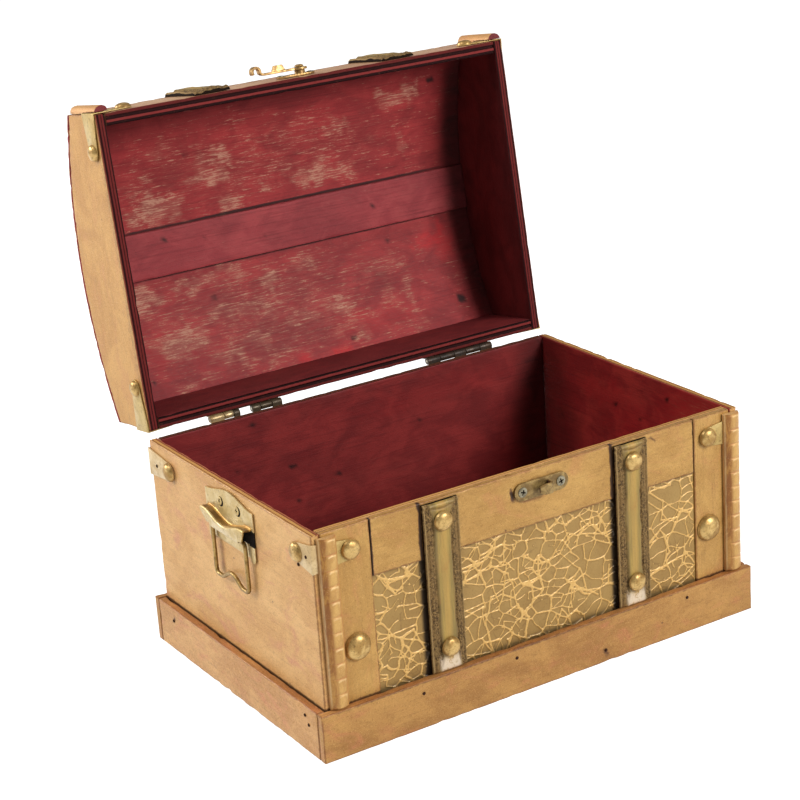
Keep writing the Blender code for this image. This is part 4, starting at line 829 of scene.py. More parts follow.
def make_lid_boards():
    for hand, sign, *_ in HANDS:
        worn_copy("worn_lid_end_" + hand, "lid_end_" + hand, "lid", (1, 2, 0),
                  lid_edge_paint(0, int(sign > 0), int(sign < 0)), "gold_lid red_lid_end rim_lid_end",
                  outer=sign * LID_END_X, ridges=lid_end_ridges, marks=LID_END_MARKS, cell=5.0)
    for side, outer, low, high in (("front", LID_FRONT_Y, 0, 1), ("back", LID_BACK_Y, 1, 0)):
        worn_copy("worn_lid_" + side, "lid_" + side, "lid", (0, 2, 1), lid_edge_paint(1, low, high),
                  "gold_pink red_rail rim_lid_front", outer=outer, ridges=lid_front_ridges, cell=5.0)
    worn_copy("worn_lid_skin", "lid_skin", "lid", (0, 1, 2), skin_paint, "gold_lid red_lid", cell=3.0,
              extra=SKIN_CUTS, marks=SKIN_MARKS)
    worn_copy("worn_lid_batten", "lid_batten", "lid", (0, 1, 2), one_paint, "red_batten", soft=0.9,
              marks=BATTEN_MARKS, cell=4.0)


# The crackled field

FIELD_STEP = 0.4  # mm between the field's points


def smooth_noise(shape, step, size, rng):
    """Smooth random values over a grid: features of about size mm, from -1 to 1."""
    rows, columns = (int(s * step / size) + 4 for s in shape)
    coarse = rng.uniform(-1, 1, (rows, columns))
    r = np.arange(shape[0]) * step / size
    c = np.arange(shape[1]) * step / size
    ri, ci = r.astype(int), c.astype(int)
    rf, cf = ease((r - ri)[:, None]), ease((c - ci)[None, :])
    a, b = coarse[ri][:, ci], coarse[ri + 1][:, ci]
    d, e = coarse[ri][:, ci + 1], coarse[ri + 1][:, ci + 1]
    return (a * (1 - rf) + b * rf) * (1 - cf) + (d * (1 - rf) + e * rf) * cf


def crack_lines(xs, zs, centres, rng, keep, stretch, half):
    """A net of raised cracks between cells, on a grid: about 1 on a line, more where lines meet, 0 away from them."""
    points = np.stack([xs.ravel(), zs.ravel() * stretch], -1)
    seeds = centres * np.array([1, stretch])
    strength = rng.uniform(0, 1, (len(seeds), len(seeds)))
    strength = np.triu(strength) + np.triu(strength, 1).T
    net = np.zeros(len(points))
    for start in range(0, len(points), 4000):
        part = points[start:start + 4000]
        square = ((part[:, None, :] - seeds[None]) ** 2).sum(-1)
        near = np.argpartition(square, 3, axis=1)[:, :4]
        first, *others = np.take_along_axis(near, np.argsort(np.take_along_axis(square, near, 1), axis=1), 1).T
        for other in others:
            apart = np.linalg.norm(seeds[other] - seeds[first], axis=1) + 1e-6
            here = (square[np.arange(len(part)), other] - square[np.arange(len(part)), first]) / (2 * apart)
            pair = strength[first, other]
            width = half * (0.7 + 0.5 * pair)
            net[start:start + 4000] += np.where(pair < keep, 0, bell(here, width))
    return net.reshape(xs.shape)


def star_lines(xs, zs, hubs, rng, reach, half):
    """Straight raised lines from each hub to its nearest hubs, crossing the net of cells, and a blob at each hub."""
    net = np.zeros(xs.shape)
    for hub in hubs:
        far = np.hypot(hubs[:, 0] - hub[0], hubs[:, 1] - hub[1])
        for other in hubs[np.argsort(far)[1:5]]:
            along = other - hub
            length = np.hypot(*along)
            if length > reach or rng.uniform() < 0.62:
                continue
            share = unit(((xs - hub[0]) * along[0] + (zs - hub[1]) * along[1]) / length ** 2)
            bow = rng.uniform(-0.9, 0.9) * np.sin(share * math.pi)
            gap = np.hypot(xs - hub[0] - along[0] * share - bow * along[1] / length,
                           zs - hub[1] - along[1] * share + bow * along[0] / length)
            net = np.maximum(net, np.exp(-(gap / (half * rng.uniform(0.75, 1.25))) ** 2))
        net += 0.7 * np.exp(-((xs - hub[0]) ** 2 + (zs - hub[1]) ** 2) / rng.uniform(0.5, 1.2) ** 2)
    return net


def field_seeds(rng, low, high, *spacing):
    """Cell centres on a jittered grid."""
    columns, rows = (np.arange(a - pitch, b + pitch, pitch) for a, b, pitch in zip(low, high, spacing))
    grid = np.stack(np.meshgrid(columns, rows), -1).reshape(-1, 2)
    return grid + rng.uniform(-0.55, 0.55, grid.shape) * np.array(spacing)


def make_field():
    (x0, front, z0), (x1, back, z1) = ([c / MM for c in corner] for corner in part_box("field_panel"))
    us = np.linspace(x0, x1, int((x1 - x0) / FIELD_STEP) + 1)
    vs = np.linspace(z0, z1, int((z1 - z0) / FIELD_STEP) + 1)
    grid_u, grid_v = np.meshgrid(us, vs, indexing="ij")
    rng = np.random.default_rng(11)

    def rough(size):
        return smooth_noise(grid_u.shape, FIELD_STEP, size, rng)

    def seeds(*spacing):
        return field_seeds(rng, (x0, z0), (x1, z1), *spacing)

    warps = [rough(14) * 2.4 + rough(5) * 0.7 for _ in range(4)]
    swell = 1 + 0.22 * rough(3.0)
    wide = crack_lines(grid_u + warps[0], grid_v + warps[1], seeds(11.5, 8.4), rng, 0.04, 1.3, 0.62)
    fine = crack_lines(grid_u + warps[2], grid_v + warps[3], seeds(7.2, 5.6), rng, 0.42, 1.15, 0.46)
    stars = star_lines(grid_u + warps[3] * 0.5, grid_v + warps[2] * 0.5, seeds(15.0, 13.0), rng, 21.0, 0.56)
    dense = unit(rough(22) * 2.0 + 0.75)
    net = (wide + fine * dense + stars) * swell
    vein = ease(unit((net - 0.34) / 0.5)) * (0.78 + 0.22 * unit(net - 0.8))
    # foot is painted shade on the base around each vein
    foot = unit((net - 0.04) / 0.2) * (vein < 0.05)
    border = np.minimum.reduce([grid_u - x0, x1 - grid_u, grid_v - z0, z1 - grid_v])
    rise = unit(border / 1.2)
    left_of, right_of = (np.min([np.abs(grid_u - strap_x - side * STRAP_WIDTH / 2) for *_, strap_x, _ in HANDS], axis=0)
                         for side in (-1, 1))
    shadow = np.exp(-(left_of / 2.7) ** 4) * 0.96 + np.exp(-right_of / 1.0) * 0.4
    shadow += np.exp(-np.clip(z1 - grid_v, 0, None) / 0.9) * 0.5
    shadow += np.exp(-np.clip(grid_v - PLINTH_TOP, 0, None) / 1.6) * 0.6
    leather = rough(1.3) * 0.03
    heights = back - front - 0.12 + leather * rise + vein * rise * 0.62
    relief("crackled_field", "box", "field_panel", us, vs, heights, lambda u, v, h: (u, back - h, v), "crackle",
           {"vein": vein, "foot": foot, "dark": np.clip(shadow, 0, 0.96)}, 60)


# The straps

def bump_shape(distance, half, soft):
    """1 inside half mm, falling smoothly to 0 over soft mm."""
    return ease(unit((half + soft - np.abs(distance)) / soft))


def strap_arris(across):
    """1 over a strap's face, falling to 0 at its two long edges."""
    return unit((STRAP_WIDTH / 2 - np.abs(across)) / 0.8) ** 0.5


def make_strap(hand, sign, centre):
    rng = np.random.default_rng(31 if sign < 0 else 37)
    us = np.linspace(-STRAP_WIDTH / 2, STRAP_WIDTH / 2, 73)
    vs = np.linspace(*STRAP_Z, 230)
    grid_u, grid_v = np.meshgrid(us, vs, indexing="ij")

    def rough(size):
        return smooth_noise(grid_u.shape, 0.45, size, rng)

    sway = 0.35 * np.sin((grid_v - 30) * 0.045 + (1 if sign < 0 else 2))
    across = grid_u - sway * bump_shape(grid_u, 6, 4)
    near_top = STRAP_Z[1] - grid_v
    ends = unit(np.minimum(near_top - 3, grid_v - STRAP_Z[0] - 1) / 7)
    pad = bump_shape(across, 4.7 + (1 - ends) ** 2 * 2.6 + rough(8) * 0.7, 1.7)
    margin = ease(unit((np.abs(grid_u) - (10.1 + rough(6) * 0.5)) / 0.9))
    pucker = rough(4.5) * 0.16 + rough(1.5) * 0.11
    roll = bump_shape(np.abs(across) - 7.9, 0.9, 1.2) * (0.35 + 0.3 * np.abs(np.sin(grid_v * math.pi / 3.1)))
    stitch = np.abs(np.sin(grid_v * math.pi / 2.6)) ** 4
    channel = unit(1 - pad - margin * 0.6 + rough(2.2) * 0.2 * (1 - pad))
    thread = bump_shape(np.abs(across) - 6.8, 0.25, 0.3) * (1 - stitch) * 0.35
    heights = 2.0 + pad * 1.25 + margin * 0.5 + pucker * (1 - 0.6 * pad) + (thread + roll) * (1 - pad)
    heights = heights - (1 - strap_arris(grid_u)) * 1.0
    fold = bell(near_top - 3.4 - 0.5 * np.cos(grid_u * 0.4), 0.7) * 0.5
    heights = heights - fold + bell(near_top - 1.6, 1.0) * 0.35
    top_end = unit(near_top / 1.8)
    low_end = unit((grid_v - STRAP_Z[0]) / 1.6)
    heights = heights * (0.6 + 0.4 * np.sqrt(top_end)) * (0.7 + 0.3 * np.sqrt(low_end))
    # left_tone is painted shade on the left margin, and light is a painted highlight on the left arris and the right
    # edge
    left_tone = unit((-9.6 - grid_u) / 0.8)
    light = bell(grid_u + 11.25, 0.35) + 0.55 * unit((grid_u - 10.6) / 0.7)
    dark = unit(channel + 0.65 * left_tone + 0.5 * margin * (grid_u > 0) + fold * 1.4)

    def to_place(u, v, h):
        skew = 0.5 * np.sin((v - 82) * 0.02) * np.abs(u) / 12
        return centre + np.clip(u + skew * 0.3, -12, 12), SEAT_Y - h, v

    relief("strap_" + hand, "box", "front_strap_" + hand, us, vs, np.minimum(heights, 3.58), to_place,
           "strap_leather strap_edge", {"channel": dark, "arris": light}, 55)


# The beaded corner mouldings

BEAD_PITCH = 9.36


def make_moulding(hand, sign, centre):
    us = np.concatenate([[-5.9, -5.75, -5.5, -5.2], np.linspace(-4.9, 4.9, 43), [5.2, 5.5, 5.75, 5.9]])
    vs = np.linspace(*MOULDING_Z, 330)
    grid_u, grid_v = np.meshgrid(us, vs, indexing="ij")
    rng = np.random.default_rng(41 if sign < 0 else 43)
    phase = ((MOULDING_Z[1] - grid_v) / BEAD_PITCH) % 1.0
    neck = bell(phase - 0.03, 0.07) + bell(phase - 1.03, 0.07)
    swell = 1 - 0.1 * neck - 0.04 * (np.abs(phase - 0.5) * 2) ** 2
    flat = smooth_noise(grid_u.shape, 0.4, 6, rng)
    round_part = np.sqrt(unit(1 - (grid_u / 6.05) ** 2))
    heights = 1.1 + 3.9 * swell * round_part ** 1.3 - 0.12 * unit(flat)
    ends = unit(np.minimum(MOULDING_Z[1] - grid_v, grid_v - MOULDING_Z[0]) / 1.0) ** 0.5
    heights = heights - (1 - ends) * 0.7
    rail = bump_shape(grid_u - 1.3, 3.1, 1.6) + 0.12 * flat * (np.abs(grid_u) < 4.5)
    rail = unit(rail)
    # cap, legs and the line along the left edge make arris, a painted highlight on each bead and along the moulding's
    # left edge
    cap = bell(phase - 0.13 - 0.008 * (grid_u - 1.2) ** 2, 0.045) * bump_shape(grid_u - 1.4, 2.4, 0.8)
    legs = bump_shape(grid_u - 3.6, 0.25, 0.4) * unit(1 - (phase - 0.15) / 0.4) * (phase > 0.13)
    arris = unit(cap + 0.6 * legs) * rail * (0.7 + 0.3 * flat)
    arris = arris + 0.6 * bell(grid_u + 5.6, 0.35)
    groove = unit(neck * 0.7) * rail + 0.7 * bell(grid_u - 4.9, 0.4)
    fields = {"rail": rail, "arris": unit(arris), "groove": unit(groove)}
    relief("beaded_moulding_" + hand, "box", "corner_moulding_" + hand, us, vs, heights,
           lambda u, v, h: (centre + u, SEAT_Y - h, v), "beaded_gold gold_moulding_edge", fields, 50)


# Dome nails

BODY_NAIL_Z, LID_NAIL_Z, SIDE_NAIL_X = 121.25, 145.05, 150.9


def dome(name, body, centre, axis, radius, height, node=None, material="brass"):
    """A pressed nail head: a thin rim, a short upright, and a crown that is a flattened sphere, a little dented."""
    profile = [(0.0, 0.0), (radius * 0.92, 0.0), (radius, 0.0), (radius, 0.35), (radius * 0.97, 0.6)]
    for k in range(1, 14):
        t = k / 14 * math.pi / 2
        profile.append((radius * 0.96 * math.cos(t), 0.6 + (height - 0.6) * math.sin(t)))
    turned(name, body, centre, axis, profile + [(0.0, height)], material, node, dent=0.25)


def make_domes():
    for part, y, z, radius, height in (("stile", SEAT_Y, 62.0, 8.5, 4.6), ("bracket", -99.7, BODY_NAIL_Z, 6.0, 3.4)):
        for hand, sign, *_ in HANDS:
            x = sign * (126.2 if part == "stile" else 126.3)
            node = f"{part}_nail_{hand}"
            dome("dome_" + node, "box", (x, y, z), FRONT, radius, height, node)
    for hand, _, strap_x, _ in HANDS:
        for level, z in (("top", 122.5), ("low", 44.7)):
            node = f"strap_nail_{hand}_{level}"
            dome("dome_" + node, "box", (strap_x, -102.7, z), FRONT, 6.0, 3.4, node)
    for hand, sign, *_ in HANDS:
        out = (sign, 0, 0)
        for end, y in (("front", -82.8), ("back", 72.3)):
            dome(f"side_nail_{hand}_{end}", "box", (sign * SIDE_NAIL_X, y, BODY_NAIL_Z), out, 6.0, 3.3)
        for end, y in (("front", -74.0), ("back", 72.0)):
            dome(f"lid_side_nail_{hand}_{end}", "lid", (sign * 148.4, y, LID_NAIL_Z), out, 5.2, 3.0)
        dome("lid_front_nail_" + hand, "lid", (sign * 124.5, -97.9, LID_NAIL_Z), FRONT, 5.0, 2.8,
             material="brass_aged")


# Small nails

PLINTH_NAIL_X, PLINTH_NAIL_Y = 155.6, 104.1
PIN_PROFILE = ((0.0, 0.0), (1.0, 0.0), (1.02, 0.2), (0.85, 0.42), (0.45, 0.52), (0.0, 0.5))
BRACKET_PINS = ((-93.4, 121.6), (88.7, 120.7))


def make_pins():
    """Nail heads in the plinth and the brackets, by the face that they sit on and their place across and up it."""
    number = 0
    for out, level, places in (
            (FRONT, PLINTH_NAIL_Y, ((-88.5, 22.2), (-23.6, 23.6), (40.9, 8.0), (104.0, 23.5))),
            (LEFT, PLINTH_NAIL_X, ((78.9, 21.1), (-84.8, 23.4), (-88.5, 18.6))),
            (RIGHT, PLINTH_NAIL_X, ((-80.0, 22.0), (60.0, 23.0), (2.0, 9.0))),
            (BACK, PLINTH_NAIL_Y, ((-110.0, 23.0), (-20.0, 22.0), (96.0, 21.0))),
            (LEFT, SIDE_NAIL_X, BRACKET_PINS), (LEFT, 150.1, ((-82.6, 113.4),)), (RIGHT, SIDE_NAIL_X, BRACKET_PINS)):
        for along, z in places:
            x, y = (out[0] * level, along) if out[0] else (along, out[1] * level)
            turned(f"pin_{number:02d}", "box", (x, y, z), out, PIN_PROFILE, "rust", steps=16)
            number += 1


# Pressed and turned metal

def finish_mesh(name, solid, body, materials, angle, node=None):
    """Turns a solid in its working frame into a piece; place is its coordinates in that frame."""
    points = [tuple(v.co) for v in solid.verts]
    solid.transform(frame_of(body))
    mesh = bpy.data.meshes.new(name)
    solid.to_mesh(mesh)
    solid.free()
    shade(mesh, angle)
    write(mesh, "place", points)
    return mesh_object(name, mesh, materials, body, node)


def round_ear(solid):
    """Rounds the free end of the catch's ear, so that it is a tongue and not a tab."""
    slice_solid(solid, 0, np.arange(-1.4, 3.4, 0.6))
    for vertex in solid.verts:
        if vertex.co[1] < -101.5:
            share = min(max((2.6 - vertex.co[0]) / 4.4, 0.0), 1.0)
            vertex.co[2] = 123.2 + (vertex.co[2] - 123.2) * math.sqrt(1 - 0.82 * share * share)
            vertex.co[1] += 1.1 * share * share


def slice_corners(solid):
    slice_solid(solid, 0, (-147.0, 147.0))


def side_or_face(centre, normal):
    """A bracket's leg on the box's side, with the corner beside it, takes a paler copy of its colour, painted light,
    than its leg on the front or back.
    """
    return 0 if abs(centre[0]) > 146.6 else 1


def ear_paint(centre, normal):
    """The catch's ear takes painted shade inside and on its left edge."""
    return 1 if centre[1] < -100.4 and (normal[1] > 0.3 or normal[0] < -0.8) else 0


def polished_copy(name, node, body, materials, soft=0.2, segments=2, paint=one_paint, shape=None):
    """Replaces a metal part by one with rolled arrises; paint(centre, normal) chooses each face's material."""
    solid = clean_solid(node, frame_of(body).inverted())
    if shape:
        shape(solid)
    roll_edges(solid, [e for e in sharp_edges(solid, 32) if e.calc_length() > 0.5], soft, segments)
    for face in solid.faces:
        face.material_index = paint(face.calc_center_median(), face.normal)
    finish_mesh(name, solid, body, materials, 35, node)


def make_plain_metal():
    for hand, *_ in HANDS:
        for end in ("front", "back"):
            polished_copy(f"plate_bracket_{end}_{hand}", f"bracket_{end}_{hand}", "box", "brass_side brass_face",
                          paint=side_or_face, shape=slice_corners)
            polished_copy(f"plate_lid_bracket_{end}_{hand}", f"lid_bracket_{end}_{hand}", "lid",
                          "brass_face brass_face", paint=side_or_face)
        metal = "hinge_left" if hand == "left" else "hinge_dark"
        polished_copy("hinge_body_" + hand, "hinge_body_leaf_" + hand, "box", metal)
        polished_copy("hinge_lid_" + hand, "hinge_lid_leaf_" + hand, "lid", metal)
    for node in ("hinge_pin_left_1", "hinge_pin_left_2", "hinge_pin_right_1"):
        polished_copy("turned_" + node, node, "box", "steel", 0.15)
    polished_copy("catch", "catch_plate", "box", "brass_catch bronze", 0.4, 3, ear_paint, round_ear)
    polished_copy("latch_base", "latch_plate", "lid", "brass_aged", 0.25)
    polished_copy("latch_arm", "latch_hook", "latch", "brass_aged", 0.3, 3)
    polished_copy("latch_pin", "latch_rivet", "lid", "brass_aged", 0.3, 3)


def screw(name, body, seat, out, radius, rise, turn, head="screw_head"):
    """A screw head: a crowned disc over seat, with a driver's cross pressed into it."""
    out = Vector(out).normalized()
    side = out.orthogonal().normalized()
    side.rotate(Matrix.Rotation(turn, 3, out))
    other = out.cross(side)
    steps = 72
    angles = np.arange(steps) * 2 * math.pi / steps
    solid = bmesh.new()

    def crown(far):
        return rise * (1 - 0.45 * (far / radius) ** 2)

    def top(x, y):
        far = math.hypot(x, y)
        height = crown(far) * min(1.0, (max(radius - far, 0.0) / 0.25) ** 0.5 + 0.25)
        cut = max(min(max((0.42 - abs(b)) / 0.14, 0), 1) * min(max((radius * 0.56 - abs(a)) / 0.3, 0), 1)
                  for a, b in ((x, y), (y, x)))
        return height * (1 - 0.92 * cut)

    def vertex(x, y, height=None):
        height = top(x, y) if height is None else height
        return solid.verts.new(Vector(seat) + side * x + other * y + out * height)

    middle = vertex(0, 0)
    table = [[vertex(r * math.cos(t), r * math.sin(t)) for t in angles] for r in np.linspace(0.0, radius, 22)[1:]]
    table.append([vertex(radius * math.cos(t), radius * math.sin(t), 0.0) for t in angles])
    for k in range(steps):
        n = (k + 1) % steps
        solid.faces.new((middle, table[0][k], table[0][n]))
        for inner, outer in zip(table, table[1:]):
            solid.faces.new((inner[k], outer[k], outer[n], inner[n]))
    solid.faces.new(table[-1])
    bmesh.ops.recalc_face_normals(solid, faces=solid.faces)
    # The faces of the pressed cross take the second material, painted shade in the recess
    for face in solid.faces:
        local = face.calc_center_median() - Vector(seat)
        far = (local - out * local.dot(out)).length
        face.material_index = int(far < 0.93 * radius and local.dot(out) < 0.62 * crown(far))
    finish_mesh(name, solid, body, head + " screw_cut", 40)


CATCH_SCREW_Z, LATCH_SCREW_Z, HANDLE_SCREW_Z = 123.2, 147.3, 124.0


def make_screws():
    for side, x, turn in (("left", -11.0, 0.5), ("right", 16.0, 1.1)):
        screw("catch_screw_" + side, "box", (x, SEAT_Y - 1.2, CATCH_SCREW_Z), FRONT, 3.1, 0.78, turn)
    for side, x, turn in (("left", -13.75, 0.3), ("right", 7.75, 0.9)):
        screw("latch_screw_" + side, "lid", (x, LID_FRONT_Y - 1.5, LATCH_SCREW_Z), FRONT, 2.2, 0.7, turn)
    for hand, sign, *_ in HANDS:
        out = (sign, 0, 0)
        for end, y, turn in (("front", -15.2, 0.7), ("back", 5.6, 0.2)):
            screw(f"handle_screw_{hand}_{end}", "box", (sign * 151.1, y, HANDLE_SCREW_Z), out, 2.7, 0.6, turn,
                  "brass_plate")
            # A thin dark disc behind each screw, a little towards the front and down: a painted shadow crescent around
            # the head
            turned(f"handle_screw_shadow_{hand}_{end}", "box", (sign * 151.05, y - 0.8, HANDLE_SCREW_Z - 0.3), out,
                   ((0.0, 0.0), (3.1, 0.0), (3.0, 0.22), (0.0, 0.24)), "screw_cut", steps=32)


# The handles

PLATE_X = 150.3  # the middle of the plate's sheet, from the box's middle
HANDLE_Y, HANDLE_HALF = -4.8, 28.75
LIP_HALF, TAB_INNER, SHEET = 26.2, 21.95, 0.8
FLAP_HALF, FLAP_TAPER = 17.0, 0.82  # half the flap's width at its foot, and that foot as a share of its width above
FLAP_END = FLAP_HALF / FLAP_TAPER
PLATE_FOOT = 118.5  # where the plate turns into the lip
BACK_HALF, BACK_FOOT, BACK_TOP = 21.6, 98.3, 117.0


def lip_level(across):
    """Height of the pressed lip, which dips towards the middle of the handle."""
    return 112.2 + 4.9 * (1 - math.cos(math.pi * across / 47.0) ** 2)


def crest_share(across):
    """1 in the middle of the handle and 0 at its ends."""
    return math.cos(math.pi * across / (2 * HANDLE_HALF)) ** 2


def handle_plate(across):
    """Height and reach of the plate above the lip, down from its wavy top edge."""
    crest = 128 + 5 * crest_share(across)
    return [(crest - 0.4, 0.55), (crest - 1.4, 0.4), (0.5 * (crest + 119), 0.4), (119.6, 0.4), (PLATE_FOOT, 0.4)]


def handle_end(across):
    """The plate beside the lip, which reaches a little lower there."""
    drop = 2.3 * min(1.0, (abs(across) - LIP_HALF) / 0.9)
    return handle_plate(across)[:-1] + [(PLATE_FOOT - drop, 0.4)]


def handle_lip(across):
    """The plate and the lip below it: a round crease, a ledge, a rolled edge, and the flap hanging from it."""
    low = lip_level(across)
    reach = 6.3 + 0.3 * crest_share(across)
    crease = [(low + 1.0, 0.42), (low + 0.3, 0.75), (low - 0.05, 1.35), (low - 0.1, 2.1)]
    ledge = [(low - 0.05, 0.5 * reach), (low + 0.15, 0.72 * reach)]
    roll = [(low + 0.4, 0.86 * reach), (low + 0.3, 0.96 * reach), (low - 0.2, reach), (low - 1.0, reach - 0.05)]
    foot, inner = (107.2, 5.0) if abs(across) * FLAP_TAPER < FLAP_HALF + 0.1 else (109.0, 5.2)
    flap = [(low - 1.0 + (foot - low + 1.0) * k / 4, reach - 0.05 + (inner - reach + 0.05) * k / 4,
             1 - (1 - FLAP_TAPER) * k / 4) for k in range(1, 5)]
    return handle_plate(across) + crease + ledge + roll + flap


def tab_profile(across):
    """A tab of the plate's end: sunk where the lip's open end shows it, flush below, with a round foot."""
    half = (HANDLE_HALF - 0.6 - TAB_INNER) / 2
    local = abs(across) - TAB_INNER - half
    foot = 95.7 + half - math.sqrt(max(half * half - local * local, 0.0))
    return [(115.9, 0.1), (112.0, 0.1), (106.8, 0.1)] + [(106.2 + (foot - 106.2) * k / 6, 0.42) for k in range(7)]


def handle_grid(sign, xs, profile):
    """Points and faces of a surface whose columns run down from the plate's top edge; a row's third value tapers."""
    points, faces, table = [], [], []
    for across in xs:
        rows = profile(across)
        table.append([len(points) + i for i in range(len(rows))])
        points.extend((sign * (PLATE_X + reach), HANDLE_Y + across * (taper[0] if taper else 1.0), height)
                      for height, reach, *taper in rows)
    for here, there in zip(table, table[1:]):
        faces.extend((here[i], there[i], there[i + 1], here[i + 1]) for i in range(len(here) - 1))
    return points, faces


def joined(*grids):
    """Several grids of points and faces as one."""
    points, faces = [], []
    for more, cells in grids:
        faces.extend(tuple(len(points) + i for i in cell) for cell in cells)
        points.extend(more)
    return points, faces


def sheet_piece(name, grid, thickness, materials, tone, node=None):
    """Thickens a surface into a closed sheet with rounded arrises; tone(centre) chooses each face's material."""
    points, faces = grid
    mesh = bpy.data.meshes.new(name + "_surface")
    mesh.from_pydata([Vector(p) * MM for p in points], [], faces)
    solid = bmesh.new()
    solid.from_mesh(mesh)
    bmesh.ops.remove_doubles(solid, verts=solid.verts, dist=0.00001)
    solid.to_mesh(mesh)
    solid.free()
    mesh.polygons.foreach_set("use_smooth", np.ones(len(mesh.polygons), bool))
    blank = bpy.data.objects.new(name + "_blank", mesh)
    bpy.context.scene.collection.objects.link(blank)
    solidify = blank.modifiers.new("sheet", "SOLIDIFY")
    solidify.thickness, solidify.offset = thickness * MM, 0.0
    bevel = blank.modifiers.new("arris", "BEVEL")
    bevel.width, bevel.segments, bevel.limit_method, bevel.angle_limit = 0.2 * MM, 2, "ANGLE", math.radians(40)
    made = bpy.data.meshes.new_from_object(blank.evaluated_get(bpy.context.evaluated_depsgraph_get()))
    made.name = name
    bpy.data.objects.remove(blank)
    bpy.data.meshes.remove(mesh)
    shade(made, 40)
    write(made, "place", np.array([v.co for v in made.vertices]).astype(float) / MM)
    mesh_object(name, made, materials, "box", node)
    paint_faces(made, tone)


def paint_faces(mesh, tone):
    for polygon in mesh.polygons:
        polygon.material_index = int(tone(polygon.center / MM))


def lip_tone(centre):
    """Plate, crease with a painted highlight, or ledge with painted shade, by where a face of the sheet lies."""
    reach, low = abs(centre.x) - PLATE_X, lip_level(centre.y - HANDLE_Y)
    if abs(centre.y - HANDLE_Y) > LIP_HALF or not low - 0.75 <= centre.z <= low + 1.6 or reach < 0.5:
        return 0
    if reach < 1.9:
        return 1
    return 2 if reach < 5.4 else 0


def make_handles():
    inner = sorted(set(np.round([*np.linspace(-LIP_HALF, LIP_HALF, 45), -FLAP_END - 0.3, -FLAP_END, FLAP_END,
                                 FLAP_END + 0.3], 3)))
    outer = np.linspace(LIP_HALF, HANDLE_HALF, 9)
    tabs = (np.linspace(-HANDLE_HALF + 0.6, -TAB_INNER, 10), np.linspace(TAB_INNER, HANDLE_HALF - 0.6, 10))
    us, vs = np.linspace(-BACK_HALF, BACK_HALF, 30), np.linspace(BACK_FOOT, BACK_TOP, 16)
    grid_u, grid_v = np.meshgrid(us, vs, indexing="ij")
    edge = np.minimum.reduce([grid_u + BACK_HALF, BACK_HALF - grid_u, grid_v - BACK_FOOT])
    heights = 0.75 - 0.3 * (1 - unit(edge / 0.8)) ** 2
    for hand, sign, *_ in HANDS:
        sheet = joined(handle_grid(sign, inner, handle_lip), handle_grid(sign, outer, handle_end),
                       handle_grid(sign, -outer[::-1], handle_end))
        sheet_piece("handle_" + hand, sheet, SHEET, "brass_plate brass_lip brass_ledge", lip_tone,
                    "handle_plate_" + hand)
        for number, xs in enumerate(tabs):
            # Above 106 mm a tab takes painted shade, the shadow under the lip's open end
            sheet_piece(f"handle_tab_{hand}_{number}", handle_grid(sign, xs, tab_profile), SHEET * 0.9,
                        "brass_plate screw_cut", lambda centre: centre.z > 106)
        back = relief("handle_back_" + hand, "box", None, us, vs, heights,
                      lambda u, v, h, sign=sign: (sign * (PLATE_X + h), HANDLE_Y + u, v),
                      "brass_plate screw_cut", {}, 40)
        # Above 106.6 mm the back plate takes painted shade, the shadow under the lip
        paint_faces(back.data, lambda centre: centre.z > 106.6)
        make_bail(hand, sign)


def arc(centre, radius, start, steps=10):
    """Points along a quarter turn, clockwise from an angle."""
    turns = (start - math.pi / 2 * k / steps for k in range(steps + 1))
    return [(centre[0] + radius * math.cos(turn), centre[1] + radius * math.sin(turn)) for turn in turns]


BAIL_X, BAIL_Z, BAIL_RADIUS = 152.9, 107.2, 1.28


def make_bail(hand, sign):
    """The bent wire, on the same path as its CAD solid with more points and smooth bends."""
    half, bend, drop = 20.0, 3.2, 31.2
    path = [(half - 10, 0.0), (half - 5, 0.0)] + arc((half - bend, -bend), bend, math.pi / 2)
    path += [(half, -drop / 2)] + arc((half - bend, bend - drop), bend, 0.0)
    path += [(13.5 * (1 - k / 18), 5.5 * (1 + math.cos(math.pi * (1 - k / 18))) / 2 - drop) for k in range(1, 19)]
    path += [(-across, height) for across, height in reversed(path[:-1])]
    points = [Vector((sign * BAIL_X, HANDLE_Y + across, BAIL_Z + height)) for across, height in path]
    tube("bail_wire_" + hand, hand + "_handle", "bail_" + hand, points, BAIL_RADIUS)


def tube(name, body, node, points, radius, sides=16):
    """A round wire along points that keep to a plane of constant x."""
    solid = bmesh.new()
    rings = []
    last = len(points) - 1
    side = Vector((1, 0, 0))
    for i, point in enumerate(points):
        along = (points[min(i + 1, last)] - points[max(i - 1, 0)]).normalized()
        other = along.cross(side).normalized()
        shrink = 0.86 if i in (0, last) else 1.0
        rings.append([solid.verts.new(point + (side * math.cos(t) + other * math.sin(t)) * radius * shrink)
                      for t in (2 * math.pi * k / sides for k in range(sides))])
    for here, there in zip(rings, rings[1:]):
        for k in range(sides):
            solid.faces.new((here[k], here[(k + 1) % sides], there[(k + 1) % sides], there[k]))
    for ring in (rings[0], rings[-1]):
        solid.faces.new(ring)
    bmesh.ops.recalc_face_normals(solid, faces=solid.faces)
    finish_mesh(name, solid, body, "brass_wire", 50, node)


# Straps and mouldings of the lid

ARCH_Y, ARCH_Z, ARCH_RADIUS = 5.95, -45.38, 246.23


def arch_z(y):
    return ARCH_Z + math.sqrt(ARCH_RADIUS ** 2 - (y - ARCH_Y) ** 2)


